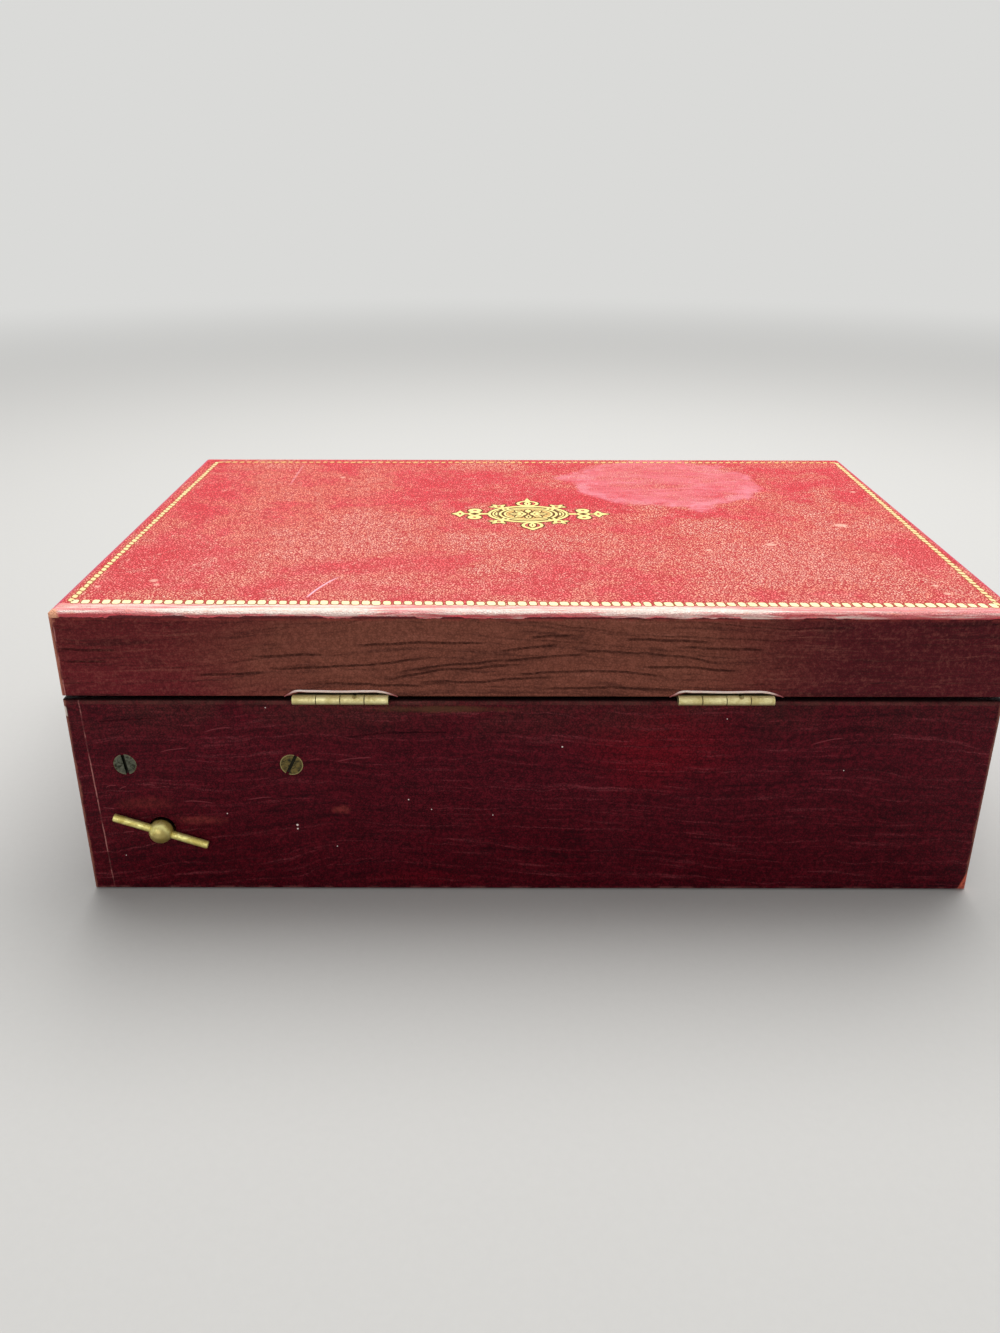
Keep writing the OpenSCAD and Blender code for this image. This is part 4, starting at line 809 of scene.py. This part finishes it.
def makeWood(values):
    material, shader, points, (x, y, z) = startFinish("beechBoard", {
        "Roughness": 0.6,
        "Specular IOR Level": 0.3,
    })
    tones = tonesOf(values)
    rings = noise(vectorMath("MULTIPLY", points, (0.06, 0.06, 1.0)), values["scale"], 5.0, 0.6, 1.6)
    pores = noise(vectorMath("MULTIPLY", points, (0.12, 0.12, 3.0)), 1.2, 3.0, 0.6)
    colour = mixed((pores * 0.35 + rings).fade(0.45, 0.85), tones["light"], tones["dark"])
    nearLeather = abs(y).fade(90.5, 92.5)  # darker next to the leather
    plug(shader, "Base Color", mixed(nearLeather, colour, tones["nearLeatherDark"]))
    plug(shader, "Normal", relief(pores, 0.00006))
    return material


glassFinish = {"clear": (236, 246, 244)}
mirrorFinish = {"bright": (228, 232, 232), "spot": (150, 146, 132)}


def makeGlass(values):
    material, shader, points, axes = startFinish("coverGlass", {
        "Base Color": tone(*values["clear"]),
        "Transmission Weight": 1.0,
        "IOR": 1.5,
    })
    smudge = noise(points, 0.05, 4.0, 0.6)
    plug(shader, "Roughness", smudge.fade(0.4, 0.8, 0.0, 0.06))
    return material


def makeMirror(values):
    material, shader, points, axes = startFinish("silveredMirror", {"Metallic": 1.0})
    tones = tonesOf(values)
    bloom = noise(points, 0.06, 5.0, 0.65)
    spots = noise(points, 0.4, 4.0, 0.7).fade(0.68, 0.76)
    plug(shader, "Base Color", mixed(spots * 0.5, tones["bright"], tones["spot"]))
    plug(shader, "Roughness", bloom.fade(0.45, 0.8, 0.02, 0.1))
    return material


goldFinishes = {
    "gold": {
        "name": "goldLeaf",
        "bright": (255, 242, 186),
        "dull": (240, 208, 146),
        "metallic": 0.08,
    },
    "dullGold": {
        "name": "dullGoldLeaf",
        "bright": (248, 218, 152),
        "dull": (222, 156, 112),
        "metallic": 0.08,
    },
    "wornGold": {
        "name": "wornGoldLeaf",
        "bright": (238, 190, 112),
        "dull": (214, 132, 84),
        "metallic": 0.05,
    },
    "ornamentGold": {
        "name": "ornamentGoldLeaf",
        "bright": (250, 228, 142),
        "dull": (222, 184, 104),
        "metallic": 0.12,
    },
    "fieldGold": {
        "name": "fieldGoldLeaf",
        "bright": (214, 174, 96),
        "dull": (190, 112, 68),
        "metallic": 0.08,
        "shine": 0.2,
    },
    "tooling": {
        "name": "darkTooling",
        "bright": (92, 58, 20),
        "dull": (112, 52, 28),
        "metallic": 0.0,
        "shine": 0.05,
    },
    "ropeShade": {
        "name": "ropeTooling",
        "bright": (150, 92, 52),
        "dull": (158, 62, 48),
        "metallic": 0.0,
        "shine": 0.05,
    },
}


def makeGold(values):
    material, shader, points, axes = startFinish(values["name"], {
        "Metallic": values["metallic"],
        "Specular IOR Level": values.get("shine", 0.4),
    })
    tones = tonesOf(values)
    rubbed = noise(points, 0.5, 5.0, 0.7, 0.4)
    plug(shader, "Base Color", mixed(rubbed.fade(0.5, 0.75), tones["bright"], tones["dull"]))
    plug(shader, "Roughness", rubbed.fade(0.3, 0.7, 0.34, 0.55))
    plug(shader, "Normal", relief(noise(points, 1.6, 3.0), 0.00004))
    return material


finishes = {
    "topLeather": makeTopLeather(topLeather),
    "lidLeather": makeSideLeather("lidSideLeather", sideLeather["lid"]),
    "baseLeather": makeSideLeather("baseSideLeather", sideLeather["base"]),
    "wood": makeWood(woodFinish),
    "glass": makeGlass(glassFinish),
    "mirror": makeMirror(mirrorFinish),
    "screwBrass": makeScrewBrass(screwFinish),
}
for finishName, finishValues in plainFinishes.items():
    finishes[finishName] = makePile(finishValues)
for finishName, finishValues in goldFinishes.items():
    finishes[finishName] = makeGold(finishValues)
for finishName, finishValues in metalFinishes.items():
    finishes[finishName] = makeMetal(finishName, finishValues)

nodeFinishes = {
    "topLeather": ["lid_top_leather"],
    "lidLeather": ["lid_side_leather"],
    "baseLeather": ["base_leather"],
    "velvet": [
        "base_wall_liners", "base_floor_liner", "long_divider", "cross_dividers", "music_side_wall",
        "ring_roll_base", "ring_rolls", "lid_wall_liners", "lid_top_liner",
    ],
    "felt": ["underside_felt"],
    "wood": [
        "base_front_board", "base_back_board", "base_side_boards", "base_floor_board", "lid_front_board",
        "lid_back_board", "lid_side_boards", "lid_top_board", "glass_ledges",
    ],
    "glass": ["music_glass"],
    "mirror": ["mirror_glass"],
    "gilt": ["mirror_frame"],
    "hingeBrass": ["hinge_base_leaves", "hinge_lid_leaves", "base_leaf_screws", "lid_leaf_screws"],
    "hingeShade": ["hinge_pins"],
    "agedBrass": ["key_hub", "key_bar"],
    "screwBrass": ["mounting_screws"],
    "brass": [
        "lock_case", "keyhole_liner", "lock_link_plate", "bedplate", "cylinder_brackets", "governor_frame",
        "stop_rod_bracket", "spring_drum", "drum_cover", "pinned_cylinder", "cylinder_gear", "worm_wheel",
        "fan",
    ],
    "steel": [
        "lock_bolt", "comb", "ratchet_click", "winding_arbor", "ratchet_wheel", "cylinder_arbor",
        "crown_pinion", "governor_arbor", "fan_spindle", "stop_rod",
    ],
    "bluedSteel": ["comb_screws", "governor_screw", "mainspring"],
}


def dress(piece, finish):
    if not piece.material_slots:
        piece.data.materials.append(finish)
    for place in piece.material_slots:
        place.material = finish


for finishName, nodeNames in nodeFinishes.items():
    for nodeName in nodeNames:
        dress(nodes[nodeName], finishes[finishName])

print("gold tooling")
topZ = 95.5  # height of the lid's top, in millimetres
sunk = -0.05  # tooled pieces reach this far down into the skin


def activate(piece):
    bpy.ops.object.select_all(action="DESELECT")
    piece.select_set(True)
    bpy.context.view_layer.objects.active = piece


def meshFrom(name, curve):
    shape = bpy.data.objects.new(name, curve)
    scene.collection.objects.link(shape)
    activate(shape)
    bpy.ops.object.convert(target="MESH")
    return bpy.context.object


# Flat shape from closed outlines in millimetres, an inner one being a hole
def flatShape(name, outlines, high):
    curve = bpy.data.curves.new(name, "CURVE")
    curve.dimensions = "2D"
    curve.fill_mode = "BOTH"
    curve.extrude = (high - sunk) / 2
    for outline in outlines:
        spline = curve.splines.new("POLY")
        spline.points.add(len(outline) - 1)
        for point, (x, y) in zip(spline.points, outline):
            point.co = (x, y, 0, 1)
        spline.use_cyclic_u = True
    shape = meshFrom(name, curve)
    shape.data.transform(Matrix.Translation((0, 0, (sunk + high) / 2)))
    return shape


def joinPieces(name, parts, finish):
    activate(parts[0])
    for part in parts:
        part.select_set(True)
    bpy.ops.object.join()
    piece = bpy.context.object
    piece.name = name
    piece.data.name = name
    piece.data.transform(Matrix.Scale(0.001, 4))
    piece.data.materials.clear()
    piece.data.materials.append(finish)
    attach(piece, "lid")
    bpy.ops.object.select_all(action="DESELECT")
    return piece


def ellipse(cx, cy, rx, ry, count=36):
    angles = [math.tau * i / count for i in range(count)]
    return [(cx + rx * math.cos(angle), cy + ry * math.sin(angle)) for angle in angles]


def leaf(cx, cy, length, width, angle, count=7):
    outline = []
    for i in range(count + 1):
        outline.append((length * (i / count - 0.5), width / 2 * math.sin(math.pi * i / count)))
    for i in range(count - 1, 0, -1):
        outline.append((length * (i / count - 0.5), -width / 2 * math.sin(math.pi * i / count)))
    turn = math.radians(angle)
    across, up = math.cos(turn), math.sin(turn)
    return [(cx + a * across - b * up, cy + a * up + b * across) for a, b in outline]


def bar(cx, cy, length, width):
    a, b = length / 2, width / 2
    return shifted([(-a, -b), (a, -b), (a, b), (-a, b)], cx, cy)


def arcBand(rx0, ry0, rx1, ry1, start, end, count=14):
    outer, inner = [], []
    for i in range(count + 1):
        angle = math.radians(start + (end - start) * i / count)
        outer.append((rx0 * math.cos(angle), ry0 * math.sin(angle)))
        inner.append((rx1 * math.cos(angle), ry1 * math.sin(angle)))
    return outer + inner[::-1]


def shifted(outline, cx, cy):
    return [(x + cx, y + cy) for x, y in outline]


# The outline moved out by a distance, or in where that is negative
def widened(outline, by):
    count = len(outline)
    area = sum(outline[i - 1][0] * outline[i][1] - outline[i][0] * outline[i - 1][1] for i in range(count))
    by = math.copysign(by, by * area)
    moved = []
    for i in range(count):
        ahead = Vector(outline[(i + 1) % count]) - Vector(outline[i])
        behind = Vector(outline[i]) - Vector(outline[i - 1])
        away = ahead.normalized() + behind.normalized()
        if away.length < 0.2:
            away = ahead - behind
            away = Vector((away.y, -away.x))
        away.normalize()
        moved.append((outline[i][0] + away.y * by, outline[i][1] - away.x * by))
    return moved


ornament = {
    "centre": (-0.5, -6.8),
    "rise": 0.045,
    "step": 0.0012,  # between the heights of pieces that lie over each other
    "rim": 0.6,  # of dark tooling round each gold line
    "holeRim": -0.18,
    "rimRise": 0.022,
    "darkRise": 0.02,
    "darkStep": 0.0008,
    # Half sizes of each gold band, outside and inside
    "ovals": [(14.9, 11.0, 13.9, 9.5), (10.9, 8.6, 10.0, 7.7), (9.05, 7.2, 8.3, 6.5)],
    "darkOval": (10.1, 7.8, 8.9, 7.1),
    "darkOvalRise": 0.018,
    # Each arm's direction, and where its rings, its tip and its tip's point lie; the right arm is longer
    "arms": [(-1, 19.8, 25.2, 2.9), (1, 20.4, 25.9, 3.9)],
    "petals": 8,
    "dropAside": 1.2,  # of the ring below, which was tooled off the middle
    "field": (9.6, 7.9),  # half size of the worn gold inside the ovals
    "fieldRise": 0.012,
    "fieldSide": (14.0, 10.0, 10.3, 8.4),
    "fieldSideRise": 0.013,
}


def makeOrnament(values):
    golds, darks = [], []

    def add(*outlines):
        lift = len(golds) % 11 * values["step"]
        golds.append(flatShape("giltPart", outlines, values["rise"] + lift))
        rimmed = [widened(outlines[0], values["rim"])]
        rimmed += [widened(hole, values["holeRim"]) for hole in outlines[1:]]
        darks.append(flatShape("rimPart", rimmed, values["rimRise"] + lift))

    def addDark(outline):
        lift = len(darks) % 7 * values["darkStep"]
        darks.append(flatShape("darkPart", [outline], values["darkRise"] + lift))

    for a, b, c, d in values["ovals"]:
        add(ellipse(0, 0, a, b, 64), ellipse(0, 0, c, d, 64))
    a, b, c, d = values["darkOval"]
    darkBand = [ellipse(0, 0, a, b, 64), ellipse(0, 0, c, d, 64)]
    darks.append(flatShape("darkOval", darkBand, values["darkOvalRise"]))
    # Curved shadows above and below, between the ovals
    for angle in (90, 270):
        addDark(arcBand(13.7, 9.4, 11.3, 8.7, angle - 46, angle - 9))
        addDark(arcBand(13.7, 9.4, 11.3, 8.7, angle + 9, angle + 46))
    for sx, reach, tip, point in values["arms"]:
        middle = 0 if sx > 0 else 180
        add(arcBand(13.3, 9.4, 12.7, 8.9, middle - 34, middle + 34))
        add(ellipse(sx * 11.75, 0, 0.4, 2.0, 16))
        for sy in (-1, 1):
            addDark(shifted([(-1.3, 0), (0, 1.9), (1.3, 0.3), (0, -1.8)], sx * 11.0, sy * 4.5))
            add(ellipse(sx * 8.35, sy * 6.45, 1.5, 1.7, 20), ellipse(sx * 8.35, sy * 6.45, 0.6, 0.8, 16))
            # Crown of three points over a double loop
            cx, cy = sx * 10.9, sy * 9.6
            add(ellipse(cx, cy, 1.9, 1.8, 20), ellipse(cx, cy, 0.8, 0.9, 14))
            for px, py, size in ((-1.5, 1.8, 1.9), (1.5, 1.8, 1.9), (sx * 2.5, -0.2, 1.5)):
                angle = math.degrees(math.atan2(sy * py, px))
                add(leaf(cx + px, cy + sy * py, size * 1.5, 1.5, angle, 5))
        # Two rings one above the other with a dark eye between, then the pointed end
        add(bar(sx * 16.2, 0, 3.4, 1.7))
        for cy in (4.4, -4.4):
            add(ellipse(sx * reach, cy, 2.5, 2.5, 24), ellipse(sx * reach, cy, 0.75, 0.75, 16))
        eye = shifted([(-1.9, 0), (0, 1.6), (1.9, 0), (0, -1.6)], sx * reach, 0)
        add(ellipse(sx * reach, 0, 2.4, 2.6, 24), eye)
        addDark(ellipse(sx * reach, 0, 1.9, 1.7, 16))
        add(bar(sx * (reach + tip) / 2, 0, 2.2, 1.0))
        tipShape = [(-1.9, 0), (0, 4.3), (1.5, 1.3), (point, 0.3), (point, -0.3), (1.5, -1.3), (0, -4.3)]
        add([(sx * p + sx * tip, q) for p, q in tipShape], ellipse(sx * tip, 0, 0.5, 1.2, 14))
    # Rosette
    for i in range(values["petals"]):
        angle = 360 * i / values["petals"]
        turn = math.radians(angle)
        cx, cy = 4.7 * math.cos(turn), 3.9 * math.sin(turn)
        add(leaf(cx, cy, 4.4, 2.3, angle), leaf(cx, cy, 2.6, 0.9, angle))
        side = math.radians(angle + 22.5)
        addDark(ellipse(6.1 * math.cos(side), 5.0 * math.sin(side), 0.45, 0.4, 10))
    for sx in (-1, 1):
        add(ellipse(sx * 2.4, 0, 1.7, 1.9, 20), ellipse(sx * 2.4, 0, 0.5, 0.8, 14))
    add(leaf(0, 3.6, 4.6, 1.9, 90))
    addDark(shifted([(-1.3, 0), (0, 1.6), (1.3, 0)], 0, -4.6))
    # Ring and spire above, pointed ring below
    add(bar(0, 10.2, 2.4, 1.8))
    add(ellipse(0, 14.1, 4.2, 3.6, 32), ellipse(0, 14.1, 3.1, 2.6, 28))
    add(leaf(0, 14.0, 6.4, 2.6, 90), leaf(0, 14.0, 2.6, 0.6, 90))
    add([(-1.4, 16.9), (0, 21.9), (1.4, 16.9)])
    aside = values["dropAside"]
    ring = []
    for outline, pull in ((ellipse(0, -14.6, 3.9, 4.0, 32), 0.8), (ellipse(0, -14.6, 2.8, 2.9, 32), 0.5)):
        drawn = [(x, y - max(0.0, -y - 16.2) * max(0.0, pull - abs(x) / 3)) for x, y in outline]
        ring.append(shifted(drawn, aside, 0))
    add(*ring)
    add(leaf(aside, -14.4, 6.2, 2.4, 90), leaf(aside, -14.4, 2.4, 0.6, 90))
    return golds, darks


# The photo's right is -X and its far side is -Y, which is half a turn
def place(parts, cx, cy):
    for part in parts:
        part.data.transform(Matrix.Translation((cx, cy, topZ)) @ Matrix.Rotation(math.pi, 4, "Z"))


def makeField(values):
    parts = [flatShape("wornField", [ellipse(0, 0, *values["field"], 48)], values["fieldRise"])]
    for turn in (0, 180):
        band = arcBand(*values["fieldSide"], turn - 42, turn + 42)
        parts.append(flatShape("wornSide", [band], values["fieldSideRise"]))
    return parts


ornamentGolds, ornamentDarks = makeOrnament(ornament)
place(ornamentGolds + ornamentDarks, *ornament["centre"])
joinPieces("topOrnament", ornamentGolds, finishes["ornamentGold"])
joinPieces("ornamentShadows", ornamentDarks, finishes["tooling"])
fieldParts = makeField(ornament)
place(fieldParts, *ornament["centre"])
joinPieces("ornamentWornField", fieldParts, finishes["fieldGold"])

border = {
    "corners": [(135.8, 86.0), (-135.2, 88.0), (-136.8, -88.0), (133.4, -87.2)],
    "pitch": 3.04,
    "along": (2.35, 2.4, 2.0, 2.4),  # of each side's blocks, the hinged side first
    "across": (3.25, 1.7, 1.6, 1.7),
    "slant": (-0.12, 0.6, 0.3, 0.6),
    "finish": ("gold", "dullGold", "wornGold", "dullGold"),
    "rise": 0.04,
    "rimAlong": 0.6,  # of dark tooling, added to a block's length and width
    "rimAcross": 0.7,
    "rimRise": 0.014,
    "points": 16,
    "squareness": 0.55,  # 1 gives an ellipse and 0 a rectangle
}


def borderRun(start, end, pitch):
    gap = Vector(end) - Vector(start)
    count = round(gap.length / pitch)
    angle = math.atan2(gap.y, gap.x)
    return [(Vector(start) + gap * ((i + 0.5) / count), angle) for i in range(count)]


def pillow(values, along, across, slant):
    outline = []
    for i in range(values["points"]):
        angle = math.tau * (i + 0.5) / values["points"]
        p = abs(math.cos(angle)) ** values["squareness"] * math.copysign(along / 2, math.cos(angle))
        q = abs(math.sin(angle)) ** values["squareness"] * math.copysign(across / 2, math.sin(angle))
        outline.append((p + slant * q, q))
    return outline


def makeBorder(values):
    rng = random.Random(7)
    corners = values["corners"]
    rims = []
    for number, across in enumerate(values["across"]):
        start, end = corners[number], corners[(number + 1) % 4]
        slant, along = values["slant"][number], values["along"][number]
        block = flatShape("ropeBlock", [pillow(values, along, across, slant)], values["rise"])
        wide = pillow(values, along + values["rimAlong"], across + values["rimAcross"], slant)
        rim = flatShape("ropeRim", [wide], values["rimRise"])
        blocks = []
        for spot, angle in borderRun(start, end, values["pitch"]):
            turn = Matrix.Rotation(angle, 4, "Z")
            size = Matrix.Diagonal((rng.uniform(0.85, 1.08), rng.uniform(0.82, 1.06), 1, 1))
            wander = Vector((rng.uniform(-0.1, 0.1), rng.uniform(-0.12, 0.12), topZ))
            moved = Matrix.Translation(Vector((spot.x, spot.y, 0)) + wander) @ turn @ size
            for source, group in ((block, blocks), (rim, rims)):
                piece = bpy.data.objects.new(source.name, source.data.copy())
                scene.collection.objects.link(piece)
                piece.data.transform(moved)
                group.append(piece)
        bpy.data.objects.remove(block)
        bpy.data.objects.remove(rim)
        joinPieces("ropeBorder%d" % (number + 1), blocks, finishes[values["finish"][number]])
    joinPieces("ropeBorderRims", rims, finishes["ropeShade"])


makeBorder(border)

print("hinge lips")
lip = {
    "half": 15.95,
    "low": 68.85,
    "high": 70.3,
    "front": 94.14,
    "radius": 0.48,
}


def makeLip(name, values, side):
    middle = side * hingeX
    half, low, high = values["half"], values["low"], values["high"]
    stations = [  # x from the hinge's middle, z, and thickness as a share of the radius
        (half + 0.7, low - 0.12, 0.22), (half - 0.8, low + 0.7, 0.7), (half - 2.4, high + 0.05, 1.15),
        (half - 6.5, high + 0.14, 1.2), (0, high, 1.1), (-half / 2, high + 0.12, 1.25),
        (-half + 4.6, high + 0.05, 1.15), (-half + 1.6, high - 0.6, 0.85), (-half - 1.0, low - 0.12, 0.2),
    ]
    curve = bpy.data.curves.new(name, "CURVE")
    curve.dimensions = "3D"
    curve.bevel_depth = values["radius"]
    curve.bevel_resolution = 3
    curve.use_fill_caps = True
    spline = curve.splines.new("BEZIER")
    spline.bezier_points.add(len(stations) - 1)
    for point, (x, z, thick) in zip(spline.bezier_points, stations):
        point.co = (middle + x, values["front"] - values["radius"] * thick, z)
        point.radius = thick
        point.handle_left_type = "AUTO"
        point.handle_right_type = "AUTO"
    spline.resolution_u = 8
    activate(joinPieces(name, [meshFrom(name, curve)], finishes["lip"]))
    bpy.ops.object.shade_smooth()


for sideName, sideSign in (("Key", 1), ("Far", -1)):
    makeLip("hingeLip" + sideName, lip, sideSign)

print("ring rolls")
roll = {
    "enlarge": 10,  # the cloth is worked ten times larger, where the solver is steadier
    "voxel": 0.026,
    "shrink": 0.96,
    "foot": 0.001,  # height that stays pinned
    "pressure": 3.0,
    "frames": 20,
    "cap": 1.1,  # millimetres that a point may move
    "fill": 0.75,
}


# The cloth swells under pressure with its foot pinned; no point moves further than the cap
def puffCloth(piece, values, footZ):
    start = [v.co.copy() for v in piece.data.vertices]
    pins = piece.vertex_groups.new(name="foot")
    pins.add([v.index for v in piece.data.vertices if v.co.z < footZ], 1.0, "REPLACE")
    cloth = piece.modifiers.new("puff", "CLOTH")
    settings = cloth.settings
    settings.vertex_group_mass = "foot"
    settings.use_pressure = True
    settings.uniform_pressure_force = values["pressure"]
    settings.effector_weights.gravity = 0
    settings.tension_stiffness = 20
    settings.compression_stiffness = 20
    settings.shear_stiffness = 10
    settings.bending_stiffness = 0.6
    settings.quality = 6
    cloth.collision_settings.use_collision = False
    cloth.point_cache.frame_start = 1
    cloth.point_cache.frame_end = values["frames"]
    for number in range(1, values["frames"] + 1):
        scene.frame_set(number)
    activate(piece)
    bpy.ops.object.modifier_apply(modifier="puff")
    scene.frame_set(1)
    cap = values["cap"] * values["enlarge"] / 1000
    for vertex, before in zip(piece.data.vertices, start):
        moved = vertex.co - before
        if moved.length > cap:
            vertex.co = before + moved * (cap / moved.length)


# The rolls come apart; one is kept as the model, with the low corners of all eight
def splitRolls(source):
    activate(source)
    bpy.ops.object.mode_set(mode="EDIT")
    bpy.ops.mesh.select_all(action="SELECT")
    bpy.ops.mesh.remove_doubles(threshold=0.00001)
    bpy.ops.mesh.separate(type="LOOSE")
    bpy.ops.object.mode_set(mode="OBJECT")
    loose = sorted(bpy.context.selected_objects, key=lambda o: min(v.co.y for v in o.data.vertices))
    corners = [Vector((min(v.co[k] for v in o.data.vertices) for k in range(3))) for o in loose]
    for extra in loose[1:]:
        bpy.data.objects.remove(extra)
    return loose[0], corners


def makeRolls(values):
    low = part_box("ring_rolls")[0]
    source = bpy.data.objects.new("rollModel", nodes["ring_rolls"].data.copy())
    scene.collection.objects.link(source)
    model, corners = splitRolls(source)
    model.name = "ringRoll1"
    model.data.name = "ringRoll1"
    middle = sum((v.co for v in model.data.vertices), Vector()) / len(model.data.vertices)
    size = values["enlarge"]
    inward = Matrix.Diagonal((values["shrink"], values["shrink"], 1, 1))
    shape = Matrix.Translation(middle) @ inward @ Matrix.Translation(-middle)
    model.data.transform(Matrix.Scale(size, 4) @ shape)
    remesh = model.modifiers.new("even", "REMESH")
    remesh.mode = "VOXEL"
    remesh.voxel_size = values["voxel"]
    activate(model)
    bpy.ops.object.modifier_apply(modifier="even")
    puffCloth(model, values, (low.z + values["foot"]) * size)
    smooth = model.modifiers.new("soften", "SMOOTH")
    smooth.iterations = 3
    bpy.ops.object.modifier_apply(modifier="soften")
    rounder = model.modifiers.new("rounder", "SUBSURF")
    rounder.levels = 1
    rounder.render_levels = 1
    bpy.ops.object.modifier_apply(modifier="rounder")
    model.data.transform(Matrix.Scale(1 / size, 4))
    bpy.ops.object.shade_smooth()
    rolls = [model]
    for number, corner in enumerate(corners[1:], 2):
        copy = bpy.data.objects.new("ringRoll%d" % number, model.data.copy())
        scene.collection.objects.link(copy)
        copy.data.name = copy.name
        copy.data.transform(Matrix.Translation(corner - corners[0]))
        rolls.append(copy)
    for piece in rolls:
        piece.data.materials.clear()
        piece.data.materials.append(finishes["velvet"])
        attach(piece, "case")
        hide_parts("ring_rolls")


makeRolls(roll)

print("floor and light")
studio = {
    "floorTone": (200, 199, 196),
    "backdropTone": (218, 218, 216),
    "worldLight": 0.36,
    "floorRadius": 9,  # metres
    "fadeFrom": 500.0,  # millimetres from the box where the floor starts to fade into the backdrop
    "fadeTo": 1900.0,
    "key": {"place": (-0.1, -0.42, 1.15), "aim": (0, 0.02, 0.05), "size": (1.3, 0.9), "power": 19.0},
    "fill": {"place": (0.45, 1.5, 0.75), "aim": (0, 0.05, 0.04), "size": (1.2, 0.9), "power": 5.4},
}


def addPanel(name, values):
    bpy.ops.object.light_add(type="AREA", location=values["place"])
    lamp = bpy.context.object
    lamp.name = name
    lamp.data.shape = "RECTANGLE"
    lamp.data.size, lamp.data.size_y = values["size"]
    lamp.data.energy = values["power"]
    towards = Vector(values["aim"]) - Vector(values["place"])
    lamp.rotation_euler = towards.to_track_quat("-Z", "Y").to_euler()


def seenShare(tree):  # 1 for what the camera, metal or glass sees
    rays = tree.nodes.new("ShaderNodeLightPath").outputs
    kinds = ("Is Camera Ray", "Is Glossy Ray", "Is Transmission Ray")
    return anyOf(*[Field(tree, rays[kind]) for kind in kinds])


# The second shader shows where the share is 1
def blendShaders(share, first, second, target):
    tree = share.tree
    blend = tree.nodes.new("ShaderNodeMixShader")
    plug(blend, 0, share)
    tree.links.new(first.outputs[0], blend.inputs[1])
    tree.links.new(second.outputs[0], blend.inputs[2])
    tree.links.new(blend.outputs[0], target.inputs["Surface"])


def makeWorld(values):
    world = bpy.data.worlds.new("studio")
    scene.world = world
    world.use_nodes = True
    tree = world.node_tree
    tree.nodes.clear()
    light = tree.nodes.new("ShaderNodeBackground")
    plug(light, "Color", (1, 1, 1, 1))
    plug(light, "Strength", values["worldLight"])
    seen = tree.nodes.new("ShaderNodeBackground")
    plug(seen, "Color", tone(*values["backdropTone"]))
    blendShaders(seenShare(tree), light, seen, tree.nodes.new("ShaderNodeOutputWorld"))


def makeFloor(values):
    bpy.ops.mesh.primitive_circle_add(vertices=96, radius=values["floorRadius"], fill_type="NGON")
    floor = bpy.context.object
    floor.name = "studioFloor"
    material, shader, points, (x, y, z) = startFinish("paleFloor", {
        "Roughness": 0.9,
        "Specular IOR Level": 0.1,
    })
    tree = material.node_tree
    pale = tone(*values["floorTone"])
    shade = (pale[0] * 0.95, pale[1] * 0.95, pale[2] * 0.95, 1)
    plug(shader, "Base Color", mixed(noise(points, 0.4, 4.0, 0.7), shade, pale))
    glow = tree.nodes.new("ShaderNodeEmission")
    plug(glow, "Color", tone(*values["backdropTone"]))
    away = reachOf(x, y).fade(values["fadeFrom"], values["fadeTo"])
    blendShaders(away * seenShare(tree), shader, glow, tree.nodes["Material Output"])
    floor.data.materials.append(material)


addPanel("keyPanel", studio["key"])
addPanel("fillPanel", studio["fill"])
makeWorld(studio)
makeFloor(studio)
